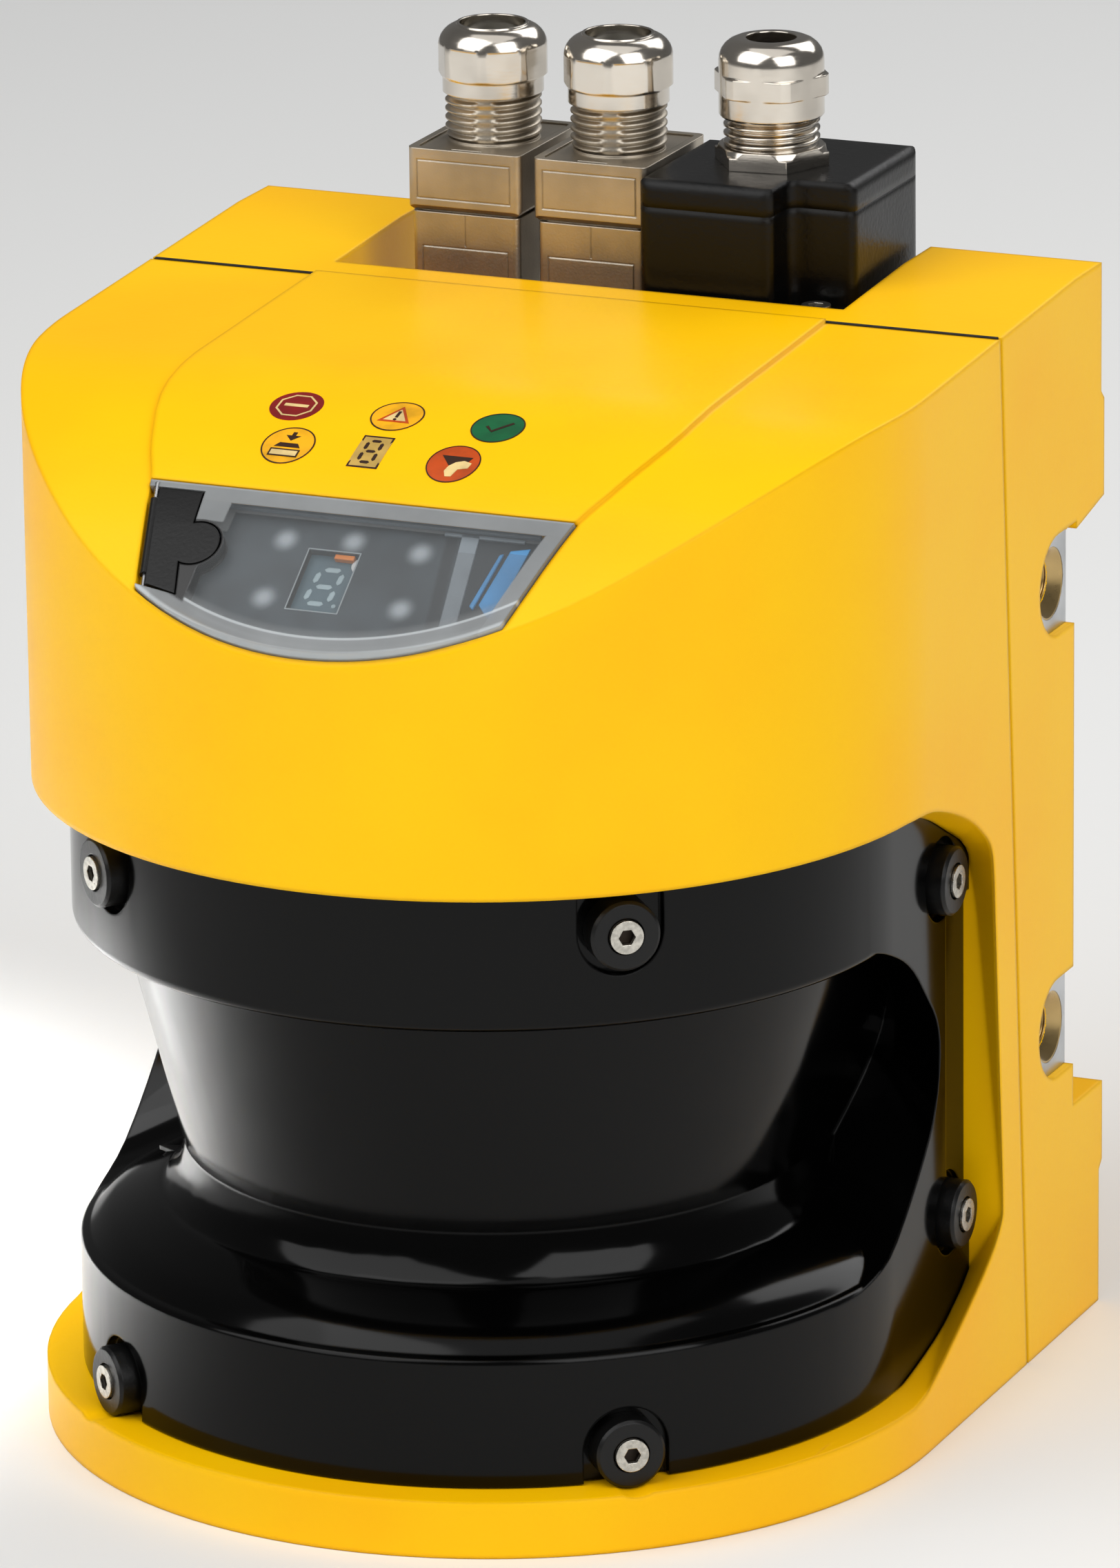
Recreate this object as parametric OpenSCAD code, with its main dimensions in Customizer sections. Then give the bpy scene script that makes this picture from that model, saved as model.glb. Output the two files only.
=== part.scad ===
// Safety laser scanner: cast two-part housing, moulded optics cover with a rotating mirror
// behind it, status display under a clear lens, and a bay with three cable plugs on top.
// Z is up, the scan window looks along -Y, and the origin is the middle of the footprint.

/* [Housing] */
// Width of the housing and diameter of its drum
body_w = 155; // [150:1:160]
// Depth of the housing from the drum front to the rear face
body_d = 160; // [158:1:164]
// Height of the housing without plugs
body_h = 185; // [183:1:190]
// Thickness of the cast side walls of the front housing
wall = 6; // [5.9:0.1:6.1]
// Thickness of the roof and of the other thin cast walls
thin_wall = 4; // [3.5:0.5:5]
// Thickness of the base flange
flange_t = 9.7; // [9:0.1:10]
// Round on the upper edge of the base flange
flange_round = 3; // [2:0.5:3.5]
// Distance of the housing seam from the rear face, at the roof
seam_in = 49.5; // [48:0.5:50]
// Lean of the seam plane, in degrees
seam_lean = 4.02; // [3.8:0.1:4.3]
// Thickness of the seal cord between the two housings
seam_gap = 0.8; // [0.6:0.1:1.2]

/* [Head] */
// Height of the underside of the head
head_z = 112.4; // [112:0.2:114]
// Fall of the roof towards the front, in degrees
roof_fall = 2.9; // [2.5:0.1:3.5]
// Distance of the brow behind the front of the drum
brow_in = 64.5; // [62.5:0.5:66.5]
// Radius of that turn
brow_r = 88; // [86:1:92]
// Slope of the display face, in degrees
visor_angle = 37; // [36:0.5:38]
// Width of the raised middle panel of the roof
panel_w = 93; // [90:1:96]
// Height of that panel above the shoulders
panel_rise = 0.8; // [0.4:0.1:1.2]

/* [Optics cover] */
// Depth of the optics cover behind the face of the drum
cover_in = 6.2; // [6.1:0.1:6.5]
// Thickness of the bands
band_wall = 4; // [3.8:0.1:4.2]
// Thickness of the window
window_wall = 2.5; // [2:0.25:3]
// Height of the lower edge of the upper band
ring_z = 88; // [87:0.5:89]
// Height of the upper edge of the lower band
band_z = 32.2; // [31:0.5:33]
// Depth of the window behind the cover, at its top
window_top_in = 7.9; // [7.3:0.1:9.3]
// Depth of the window behind the cover, at its foot
window_foot_in = 17.9; // [16.3:0.1:19.3]
// Height of the window foot
window_foot_z = 47.7; // [46:0.5:49]
// Depth of the ridge behind the cover
ridge_in = 12.3; // [10.8:0.1:13.3]
// Height of that ridge
ridge_z = 39; // [38:0.5:40]
// Step of the flanks behind the scan gap
flank_step = 1; // [0.5:0.1:1.5]

/* [Cover screws] */
// Angle of the front screws from the middle, in degrees
screw_angle = 40; // [36:1:44]
// Height of the upper front screws
screw_top_z = 104.2; // [103:0.2:105]
// Height of the lower front screws
screw_low_z = 15.3; // [15:0.1:15.6]
// Diameter of the collars
collar_d = 11.8; // [10:0.2:12.2]
// Width of the notches that the collars sit in
notch_w = 14.6; // [14:0.2:15.5]
// Depth of the faces of the collars behind the face of the drum
collar_in = 3.5; // [3.1:0.1:4]
// Thread diameter of the cover screws
cover_screw_d = 3.5; // [3:0.5:4]
// Diameter of the cover screw heads
cover_head_d = 5.6; // [5:0.2:6]

/* [Rear housing] */
// Depth of the bracket recess across the rear
bracket_depth = 14.3; // [13:0.1:15]
// Height of the lower edge of the bracket recess
bracket_low = 39.8; // [39:0.2:41]
// Height of the upper edge of the bracket recess
bracket_high = 142.2; // [142:0.2:144]
// Depth of the relief above and below the rear contact faces
rear_relief = 1.5; // [1:0.1:2]
// Diameter of the side mounting threads
side_thread_d = 8; // [7:0.5:8.5]
// Depth of the side mounting threads
side_thread_l = 9; // [8:0.5:10]
// Countersink diameter of the side mounting threads
side_sink_d = 12.5; // [11:0.5:13]
// Depth of the machined pads on the sides
pad_depth = 1.6; // [1:0.1:2]
// Height of the lower side threads
side_low_z = 56.1; // [55:0.1:58]
// Height of the upper side threads
side_high_z = 134.9; // [134:0.1:135.5]
// Distance of the side threads in front of the recess face
side_hole_in = 7.6; // [7:0.1:9]
// Diameter of the rear mounting threads
rear_thread_d = 6; // [5:0.5:6.5]
// Spacing of the rear mounting threads across the width
rear_thread_w = 102; // [98:1:106]
// Spacing of the rear mounting threads up the height
rear_thread_h = 74; // [70:1:78]
// Depth of the rear mounting threads
rear_thread_l = 9; // [8:0.5:10]
// Thread diameter of the screws that join the housings
joint_screw_d = 4; // [3.5:0.5:4.5]

/* [Plug bay] */
// Width of the plug bay
bay_w = 93; // [92:1:96]
// Distance of the front of the plug bay from the rear face
bay_in = 41.5; // [40.5:0.5:42]
// Depth of the floor of the plug bay below the roof
bay_deep = 35; // [33:1:36]
// Distance of the plugs from the rear face
plug_in = 20.5; // [20:0.5:21]

/* [Data plugs] */
// Offset of the first data plug from the middle
data_x = -26; // [-27:0.5:-25]
// Distance between the data plugs
data_pitch = 23.2; // [22.5:0.1:23.6]
// Width of the locking sleeves
sleeve_w = 20.9; // [20:0.1:21.4]
// Depth of the locking sleeves
sleeve_d = 26.6; // [25:0.1:28]
// Wall of the locking sleeves
sleeve_wall = 1.4; // [1:0.1:1.8]
// Height of the locking sleeves
sleeve_h = 10.8; // [9:0.2:12]
// Height of the locking sleeves above the roof
sleeve_over = 18.7; // [17:0.1:20]
// Outer diameter of the threaded necks
neck_d = 15.8; // [15:0.1:16]
// Length of the necks above the sleeves
neck_l = 8; // [7:0.5:9]
// Diameter of the cap nuts
cap_d = 18.7; // [18:0.1:19.4]
// Height of the cap nuts
cap_h = 11.8; // [11:0.2:13]
// Diameter of the cable opening in the cap nuts
cap_bore = 11.3; // [10:0.1:12]

/* [Power plug] */
// Width of the power plug
hood_w = 36; // [35:0.5:36.5]
// Depth of the power plug
hood_d = 39; // [37:0.5:39.5]
// Left face of the power plug from the middle
hood_x = 8.4; // [8.1:0.1:9]
// Height of the power plug's hood above the roof
hood_over = 18.4; // [17:0.1:20]
// Height of the lid of the power plug
hood_lid = 4.7; // [4:0.1:6]
// Distance of the gland from the left face of the power plug
gland_in = 16.8; // [16:0.1:18]
// Thread diameter of the gland
gland_d = 15.6; // [15:0.1:16]
// Width across the flats of the gland nuts
gland_af = 17.4; // [17:0.1:18]
// Diameter of the gland cap
gland_cap_d = 17.9; // [17.4:0.1:18.4]
// Diameter of the cable opening in the gland cap
gland_bore = 8.6; // [8:0.1:9.6]

/* [Display] */
// Width of the display lens at its top edge
lens_w = 75.4; // [73:0.2:77]
// Reach of the lens above the middle of the display face
lens_up = 11.3; // [10:0.1:12]
// Reach of the lens below the middle of the display face
lens_down = 21; // [20:0.1:22]
// Radius of the lower edge of the lens
lens_arc = 58.4; // [55:0.2:62]
// Lean of the sides of the lens, in degrees
lens_lean = 13.4; // [12:0.1:15]
// Thickness of the lens
lens_t = 2.5; // [2:0.25:3]
// Clearance round the lens and the service flap
lens_gap = 0.3; // [0.2:0.05:0.4]
// Rim that carries the lens
lens_rim = 2.6; // [2:0.2:3.4]

/* [Scan unit] */
// Height of the scan plane
scan_z = 66; // [64:0.5:68]
// Radius of the mirror carrier
carrier_r = 24; // [22:0.5:26]
// Thickness of the mirror
mirror_t = 3; // [2:0.5:4]
// Diameter of the motor shaft
shaft_d = 6; // [5:0.5:8]
// Diameter of the motor case
motor_d = 44; // [40:1:48]
// Height of the motor case
motor_h = 24; // [22:1:25]
// Diameter of the receiver lens
receiver_d = 48; // [44:1:52]
// Radial clearance of turning and sliding fits
run_fit = 0.05; // [0.02:0.01:0.1]

/* [Hidden] */
$fn = 96;
eps = 0.01;
part_gap = 0.3;
thread_fit = 0.02;
screw_play = 0.25;

yellow = [1, 0.8, 0];
black = [0.06, 0.06, 0.06];
dark = [0.16, 0.16, 0.17];
nickel = [0.78, 0.76, 0.72];
zinc = [0.62, 0.57, 0.5];
steel = [0.75, 0.75, 0.76];
alloy = [0.7, 0.71, 0.73];
green = [0.1, 0.42, 0.22];
clear = [0.5, 0.55, 0.6, 0.6];

drum_r = body_w / 2;
rear_y = body_d - drum_r;
drum_y = drum_r - body_d / 2;
head_r = drum_r - thin_wall;
inner_r = drum_r - wall;
seam_y = rear_y - seam_in;
bay_y = rear_y - bay_in;
plug_y = rear_y - plug_in;
bay_z = body_h - bay_deep;
sleeve_top = body_h + sleeve_over;
hood_top = body_h + hood_over;
brow_y = drum_r - brow_in;
cover_r = drum_r - cover_in;
collar_face = drum_r - collar_in;
window_top_r = cover_r - window_top_in;
window_foot_r = cover_r - window_foot_in;
ridge_r = cover_r - ridge_in;
seam_low_y = seam_y + body_h * tan(seam_lean);
frame_y = seam_y + 2;

// ---- placing and sweeping ----

// From the drum axis to the middle of the footprint
module placed() {
    translate([0, drum_y, 0]) children();
}

// A profile drawn as [radius, height], swept round the drum front and straight back along
// both sides
module drum_sweep(back) {
    rotate([0, 0, 180]) rotate_extrude(angle = 180) children();
    for (side = [0, 1])
        mirror([side, 0, 0]) translate([0, back, 0]) rotate([90, 0, 0])
            linear_extrude(back) children();
}

// An outline drawn as [depth, height], carried across the width
module across(from_x, to_x) {
    rotate([90, 0, 90]) translate([0, 0, from_x]) linear_extrude(to_x - from_x) children();
}

// Both sides of the object
module both_sides() {
    for (side = [0, 1]) mirror([side, 0, 0]) children();
}

// Points of an arc, for outlines
function arc(centre, r, from_a, to_a, n) =
    [for (i = [0 : n]) centre + r * [cos(from_a + (to_a - from_a) * i / n),
                                     sin(from_a + (to_a - from_a) * i / n)]];

// Points on a smooth curve that passes through every given point
function bend(p, i) = p[max(0, min(len(p) - 1, i))];
function curve_point(a, b, c, d, t) =
    0.5 * (2 * b + t * (c - a) + t * t * (2 * a - 5 * b + 4 * c - d)
           + t * t * t * (3 * b - a - 3 * c + d));
function smooth(p, n) =
    [for (i = [0 : len(p) - 2], k = [0 : n - 1])
        curve_point(bend(p, i - 1), bend(p, i), bend(p, i + 1), bend(p, i + 2), k / n),
     p[len(p) - 1]];

// ---- forms shared by the housings ----

brow_z = body_h - (seam_y + brow_y) * tan(roof_fall);
brow_c = [brow_r * sin(roof_fall) - brow_y, brow_z - brow_r * cos(roof_fall)];
visor_y = brow_c[0] - brow_r * sin(visor_angle);
visor_z = brow_c[1] + brow_r * cos(visor_angle);
brow_steps = 18;

// Side view of the head under its roof, brow and display face
module brow_outline(inset) {
    turn = arc(brow_c, brow_r - inset, 90 + roof_fall, 90 + visor_angle, brow_steps);
    roof = turn[0];
    face = turn[brow_steps];
    back = rear_y + 1;
    front = -drum_r - 2;
    polygon(concat(
        [[front, -1], [back, -1], [back, roof[1] + (back - roof[0]) * tan(roof_fall)]],
        turn,
        [[front, face[1] + (front - face[0]) * tan(visor_angle)]]));
}

// Drum form of the body above height low, set in from the outside at its side and its top
module body_form(side, top, low) {
    intersection() {
        drum_sweep(rear_y) translate([0, low]) square([drum_r - side, body_h + 5]);
        across(-drum_r - 2, drum_r + 2) brow_outline(top);
    }
}

// Everything in front of a plane parallel to the seam
module before_seam(shift) {
    across(-drum_r - 1, drum_r + 1)
        polygon([[-drum_r - 2, -1], [seam_low_y + shift + tan(seam_lean), -1],
                 [seam_y + shift - 5 * tan(seam_lean), body_h + 5], [-drum_r - 2, body_h + 5]]);
}

// Raised middle panel of the roof, seen from above
module panel_outline() {
    half = panel_w / 2;
    edge = smooth([[half, seam_y], [half, 0], [half - 0.5, -27], [half - 5, -43],
                   [half - 9, -52], [half - 12, -62]], 4);
    polygon(concat(edge, [for (i = [len(edge) - 1 : -1 : 0]) [-edge[i][0], edge[i][1]]]));
}

// Coordinates on the display face: X across, Y up the slope, Z outwards
module on_visor() {
    translate([0, visor_y, visor_z]) rotate([visor_angle, 0, 0]) children();
}

// ---- display outlines, on the display face ----

module lens_outline(inset) {
    top = lens_up - inset;
    half = lens_w / 2 - inset / cos(lens_lean);
    low = lens_down + 4;
    intersection() {
        translate([0, lens_arc - lens_down]) circle(lens_arc - inset);
        polygon([[-half, top], [half, top],
                 [half - (top + low) * tan(lens_lean), -low],
                 [-half + (top + low) * tan(lens_lean), -low]]);
    }
}

flap_hinge_a = [-35.2, 7];
flap_hinge_b = [-31.7, -8];
flap_lens_left = 1.35;
flap_thumb = [-25, -1.2];
flap_thumb_r = 4.2;
flap_dir = (flap_hinge_b - flap_hinge_a) / norm(flap_hinge_b - flap_hinge_a);
flap_turn = atan2(flap_dir[0], -flap_dir[1]);
flap_len = norm(flap_hinge_b - flap_hinge_a);
flap_t = 2;
knuckle_r = 0.9;
pin_r = 0.4;

// Outline of the service flap, grown by a margin and carried further past its hinge
module flap_outline(grow, left) {
    far_a = flap_hinge_a - flap_dir * (2.4 + grow);
    far_b = flap_hinge_b + flap_dir * (2.2 + grow);
    polygon([far_a + [left, 0], [-27.4 + grow, far_a[1]], [-26.6 + grow, 2], [-26.6 + grow, -5],
             [-24.9 + grow, far_b[1] - 1.4], far_b + [left, 0]]);
    translate(flap_thumb) circle(flap_thumb_r + grow);
}

// Coordinates on the hinge of the flap: Y along the axis, downwards on the display face
module on_flap_hinge() {
    on_visor() translate([flap_hinge_a[0], flap_hinge_a[1], -knuckle_r])
        rotate([0, 0, 180 + flap_turn]) children();
}

// ---- front housing ----

floor_t = 5;

edge_in_front = 11;
edge_lean_y = function(z) seam_low_y - z * tan(seam_lean) - edge_in_front;

// Where the front part of the opening meets its side parts
edge_from = seam_y - 41;

// Outline of the scan opening in a side wall, as [depth, height]
function scan_edge(back, drop, low) = concat(
    [[-drum_r - 2, head_z], [edge_from, head_z]],
    smooth([[edge_from, head_z - drop * 0.2], [edge_from + 11, head_z - 1 - drop],
            [edge_from + 24, head_z - 5.6 - drop], [edge_from + 32, head_z - 10.2 - drop],
            [edge_from + 36.2 + back * 0.7, head_z - 15.5 - drop],
            [edge_from + 36.6 + back, head_z - 26], [edge_lean_y(60) + back, 60],
            [edge_lean_y(38) + back, 38 - low], [edge_from + 40.4 + back * 0.8, 31.5 - low],
            [edge_from + 32.2 + back * 0.5, 25 - low * 1.1],
            [edge_from + 13.2, 15.4 - low * 0.6], [edge_from, flange_t]], 4),
    [[-drum_r - 2, flange_t]]);

bevel_back = 6.4;
bevel_drop = 1.4;
bevel_low = 7;

module scan_opening() {
    deep = 1.25;
    translate([-body_w, -body_w, flange_t]) cube([2 * body_w, body_w + edge_from, head_z - flange_t]);
    both_sides() hull() {
        across(drum_r, drum_r + 2) polygon(scan_edge(0, 0, 0));
        across(drum_r - wall * deep, drum_r - wall * deep + eps)
            polygon(scan_edge(bevel_back * deep, bevel_drop * deep, bevel_low * deep));
    }
}

neck_out = cover_r - band_wall - 0.5;
neck_in = neck_out - 5.8;
neck_top_z = ring_z + window_wall + 1;
neck_low_z = 24;

module flange_ring() {
    step = flange_round;
    drum_sweep(seam_low_y) polygon(concat(
        [[neck_in, 0], [drum_r - 1, 0], [drum_r, 1]],
        arc([drum_r - step, flange_t - step], step, 0, 90, 6),
        [[neck_in, flange_t]]));
}

// Frame along the seam that the rear housing is screwed to
module seam_frame() {
    difference() {
        intersection() {
            body_form(0, panel_rise, 0);
            before_seam(0);
            union() {
                translate([-drum_r, frame_y, 0]) cube([body_w, body_d, head_z + thin_wall]);
                difference() {
                    translate([-drum_r, 0, head_z]) cube([body_w, body_d, body_h]);
                    before_seam(-8);
                }
            }
        }
        translate([-neck_in, 0, flange_t]) cube([2 * neck_in, body_d, body_h - 2 * flange_t]);
    }
}

joint_x = drum_r - 9.5;
joint_z = [18, 121, body_h - 13];
joint_boss_r = 6;
joint_depth = 12;
function seam_at(z) = seam_low_y - z * tan(seam_lean);

module front_bosses() {
    intersection() {
        body_form(0, panel_rise, 0);
        before_seam(0);
        both_sides() for (z = [joint_z[1], joint_z[2]])
            translate([joint_x, seam_at(z) + 2, z]) rotate([90, 0, 0])
                cylinder(r = joint_boss_r, h = joint_depth + 6);
    }
}

// Places of the eight cover screws, with Z pointing outwards from the drum axis
module at_cover_screws() {
    for (side = [-1, 1], z = [screw_top_z, screw_low_z])
        rotate([0, 0, side * screw_angle]) translate([0, 0, z]) rotate([90, 0, 0]) children();
    for (side = [-1, 1], p = side_screws)
        translate([0, p[0], p[1]]) rotate([0, side * 90, 0]) children();
}

side_screws = [[edge_from + 30, 93.4], [edge_from + 34.1, 33.2]];
side_boss_r = 5;

module neck() {
    drum_sweep(frame_y + 1) translate([neck_in, neck_top_z])
        square([neck_out - neck_in, head_z - neck_top_z + 1]);
    drum_sweep(frame_y + 1) translate([neck_in, flange_t - 1])
        square([neck_out - neck_in, neck_low_z - flange_t + 1]);
    both_sides() for (p = side_screws)
        translate([neck_in, p[0], p[1]]) rotate([0, 90, 0])
            cylinder(r = side_boss_r, h = neck_out - neck_in);
    // webs that tie the side bosses to the seam frame
    both_sides() {
        translate([neck_in, side_screws[0][0], side_screws[0][1] - side_boss_r])
            cube([neck_out - neck_in, frame_y + 1 - side_screws[0][0], 2 * side_boss_r]);
        translate([neck_in, side_screws[1][0], side_screws[1][1] - side_boss_r])
            cube([neck_out - neck_in, frame_y + 1 - side_screws[1][0], 2 * side_boss_r]);
    }
}

module display_opening() {
    intersection() {
        on_visor() translate([0, 0, -60]) linear_extrude(90) lens_outline(0);
        difference() {
            translate([-drum_r, -drum_r - 5, head_z + 10]) cube([body_w, drum_r, body_h]);
            body_form(lens_t, lens_t, 0);
        }
    }
    intersection() {
        on_visor() translate([0, 0, -30]) linear_extrude(60) lens_outline(lens_rim);
        translate([-drum_r, -drum_r - 5, head_z + 10]) cube([body_w, drum_r, body_h]);
    }
}

module front_housing() {
    color(yellow) placed() difference() {
        union() {
            intersection() {
                before_seam(0);
                union() {
                    difference() {
                        body_form(0, panel_rise, 0);
                        drum_sweep(rear_y) translate([0, floor_t]) square([inner_r, head_z]);
                        body_form(thin_wall, thin_wall, head_z);
                        scan_opening();
                    }
                    difference() {
                        intersection() {
                            body_form(0, 0, head_z);
                            linear_extrude(body_h + 10) panel_outline();
                        }
                        body_form(-1, panel_rise + 1, 0);
                    }
                    flange_ring();
                    drum_sweep(seam_low_y) translate([neck_in, head_z])
                        square([drum_r - neck_in - 1, thin_wall]);
                }
            }
            seam_frame();
            front_bosses();
            neck();
        }
        display_opening();
        at_cover_screws() translate([0, 0, neck_in - 1])
            cylinder(d = cover_screw_d + 2 * thread_fit, h = neck_out - neck_in + 2);
        for (side = [-1, 1]) rotate([0, 0, side * screw_angle])
            translate([0, -notch_floor, screw_low_z]) rotate([90, 0, 0])
                cylinder(d = collar_d + 2 * part_gap, h = drum_r - notch_floor + 1);
        both_sides() for (z = joint_z)
            translate([joint_x, seam_at(z) + 1, z]) rotate([90, 0, 0])
                cylinder(d = joint_screw_d + 2 * thread_fit, h = joint_depth + 1);
        at_frame_screws() translate([0, 0, flange_t - 8])
            cylinder(d = frame_screw_d + 2 * thread_fit, h = 20);
    }
}

// ---- rear housing ----

recess_y = rear_y - bracket_depth;
side_hole_y = recess_y - side_hole_in;
side_hole_z = [side_low_z, side_high_z];
joint_seat_y = recess_y - 6.2;
joint_head_d = 7;
joint_head_h = 4;
rear_mid_z = (bracket_low + bracket_high) / 2;
rear_wall = 5;
bay_floor = 5;
relief_low = 24;
relief_high = 162;
pad_r = 8.8;

// Side view of the rear housing, as [depth, height]
module rear_outline() {
    polygon([[0, 0], [rear_y - rear_relief, 0], [rear_y - rear_relief, relief_low],
             [rear_y, relief_low + rear_relief], [rear_y, bracket_low],
             [recess_y, bracket_low], [recess_y, bracket_high],
             [rear_y, bracket_high + 2.8], [rear_y, relief_high],
             [rear_y - rear_relief, relief_high + rear_relief],
             [rear_y - rear_relief, body_h + 1], [0, body_h + 1]]);
}

module side_pads() {
    both_sides() for (z = side_hole_z)
        translate([drum_r - pad_depth, side_hole_y, z]) {
            rotate([0, 90, 0]) cylinder(r = pad_r, h = pad_depth + 1);
            translate([0, 0, -pad_r]) cube([pad_depth + 1, side_hole_in + 1, 2 * pad_r]);
        }
}

module side_threads() {
    both_sides() for (z = side_hole_z)
        translate([drum_r - pad_depth, side_hole_y, z]) rotate([0, -90, 0]) {
            translate([0, 0, -1]) cylinder(d = side_thread_d, h = side_thread_l + 1);
            translate([0, 0, -eps]) cylinder(d1 = side_sink_d, d2 = side_thread_d,
                                             h = (side_sink_d - side_thread_d) / 2);
        }
}

module at_rear_threads() {
    for (x = [-1, 1], z = [-1, 1])
        translate([x * rear_thread_w / 2, recess_y, rear_mid_z + z * rear_thread_h / 2])
            rotate([90, 0, 0]) children();
}

module rear_housing() {
    color(yellow) placed() difference() {
        union() {
            difference() {
                intersection() {
                    body_form(0, panel_rise, 0);
                    across(-drum_r - 1, drum_r + 1) rear_outline();
                }
                before_seam(seam_gap);
                translate([-neck_in, 0, flange_t])
                    cube([2 * neck_in, recess_y - rear_wall, bay_z - bay_floor - flange_t]);
            }
            at_rear_threads() cylinder(d = 2 * rear_thread_d, h = rear_thread_l + 3);
        }
        translate([-bay_w / 2, bay_y, bay_z]) cube([bay_w, body_d, body_h]);
        side_pads();
        side_threads();
        at_rear_threads() translate([0, 0, -1])
            cylinder(d = rear_thread_d, h = rear_thread_l + 1);
        both_sides() for (z = joint_z) translate([joint_x, 0, z]) rotate([-90, 0, 0]) {
            cylinder(d = joint_screw_d + 2 * screw_play, h = body_d);
            translate([0, 0, joint_seat_y]) cylinder(d = joint_head_d + 1, h = body_d);
        }
        for (i = [0, 1]) translate([data_x + i * data_pitch, plug_y, 0])
            socket_stem(socket_w, socket_d, part_gap / 2);
        translate([hood_mid_x, plug_y, 0]) {
            socket_stem(power_w, power_d, part_gap / 2);
            for (p = hood_screw_spots) translate([p[0], p[1], bay_z - hood_screw_grip - 0.5])
                cylinder(d = hood_screw_d + 2 * thread_fit, h = 20);
        }
        for (p = board_posts) translate([p[0], recess_y - rear_wall - 1, p[1]])
            rotate([-90, 0, 0]) cylinder(d = board_screw_d + 2 * thread_fit, h = rear_wall);
    }
}

module housing_seal() {
    color(dark) placed() difference() {
        intersection() {
            body_form(0.6, 0.6, 0.6);
            before_seam(seam_gap);
        }
        before_seam(0);
        translate([-neck_in - 3, 0, flange_t - 2])
            cube([2 * neck_in + 6, body_d, body_h - 2 * flange_t + 8]);
        both_sides() for (z = joint_z) translate([joint_x, 0, z]) rotate([-90, 0, 0])
            cylinder(d = joint_screw_d + 2 * screw_play, h = body_d);
    }
}

// Hexagon socket screw along Z: the head stands on z = 0 and the shank goes down
module socket_screw(d, length, head_d, head_h, key) {
    difference() {
        union() {
            translate([0, 0, -length]) cylinder(d = d, h = length + eps);
            cylinder(d = head_d, h = head_h);
        }
        translate([0, 0, head_h * 0.45]) cylinder(d = key / cos(30), h = head_h, $fn = 6);
    }
}

module housing_screws() {
    color(steel) placed() both_sides() for (z = joint_z)
        translate([joint_x, joint_seat_y, z]) rotate([-90, 0, 0])
            socket_screw(joint_screw_d, joint_seat_y - seam_at(z) + joint_depth - 3,
                         joint_head_d, joint_head_h, 3);
}

// ---- optics cover ----

notch_floor = cover_r - 2;
cover_top = head_z - part_gap;
cover_low = flange_t + part_gap;
cover_back = frame_y - part_gap;
ring_round = 1.6;

// Section of the scan gap, as [radius, height]; grow moves every wall back
function gap_section(grow) = concat(
    [[cover_r + 4, band_z - 0.6 - grow]],
    arc([cover_r - 1.2, band_z - 1.2 - grow], 1.2, 0, 60, 3),
    smooth([[cover_r - 1.6, band_z + 0.1 - grow], [cover_r - 5.3, 35.4 - grow], [ridge_r, ridge_z - grow],
            [ridge_r - 2.2 - grow * 0.3, ridge_z + 0.9 - grow * 0.9],
            [window_foot_r + 1.2 - grow * 0.8, ridge_z + 4 - grow * 0.5],
            [window_foot_r - grow, window_foot_z]], 4),
    [[window_top_r - grow, ring_z + grow]],
    arc([cover_r - ring_round, ring_z + ring_round + grow], ring_round, -90, 0, 4),
    [[cover_r + 4, ring_z + ring_round + grow]]);

// A smooth line through points whose depths are counted from edge_from
function from_edge(p) = smooth([for (q = p) q + [edge_from, 0]], 3);

// Ends of the scan gap in the side view, at the flank and deep inside
flank_end = from_edge(
    [[-18, 29.5], [-2, 31.2], [7.6, 34.8], [19.2, 45], [24.4, 52.1], [26.9, 62], [25.4, 69],
     [19.7, 75.6], [13.2, 82.6], [5.4, 87.5], [-4, 90.5], [-18, 92]]);
inner_end = from_edge(
    [[-18, 34.6], [-4, 38.3], [5.8, 41], [14.9, 43.6], [24.2, 47.5], [31.4, 53], [36, 58.6],
     [37.4, 65], [35.4, 71.6], [29.7, 77.2], [21.7, 80.8], [10, 84.5], [-4, 88], [-18, 90]]);
inner_end_x = cover_r - 11.3;

function grown(p, grow) =
    [for (q = p, v = [q - [edge_from + 2, 61]])
        q + (q[0] < edge_from - 17 ? 0 : 1) * grow * v / norm(v)];

// The gap that the scan beam leaves by, cut back by grow for the inside of the shell
module scan_gap(grow) {
    flank_slope = 1.1;
    intersection() {
        drum_sweep(frame_y + 5) polygon(gap_section(grow));
        union() {
            translate([-100, -100, 0]) cube([200, edge_from + 84, 120]);
            both_sides() hull() {
                across(cover_r + 3, cover_r + 3 + eps) polygon(grown(flank_end, grow));
                across(inner_end_x, inner_end_x + eps) polygon(grown(inner_end, grow));
                across(window_foot_r - 8.4, window_foot_r - 8.4 + eps)
                    polygon(grown(inner_end, grow + flank_slope));
            }
        }
    }
}

// Notch round a cover screw, running out through the edge that way points to
module screw_notch(way) {
    translate([0, 0, notch_floor]) {
        cylinder(d = notch_w, h = 10);
        translate([-notch_w / 2, way > 0 ? 0 : -20, 0]) cube([notch_w, 20, 10]);
    }
}

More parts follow.
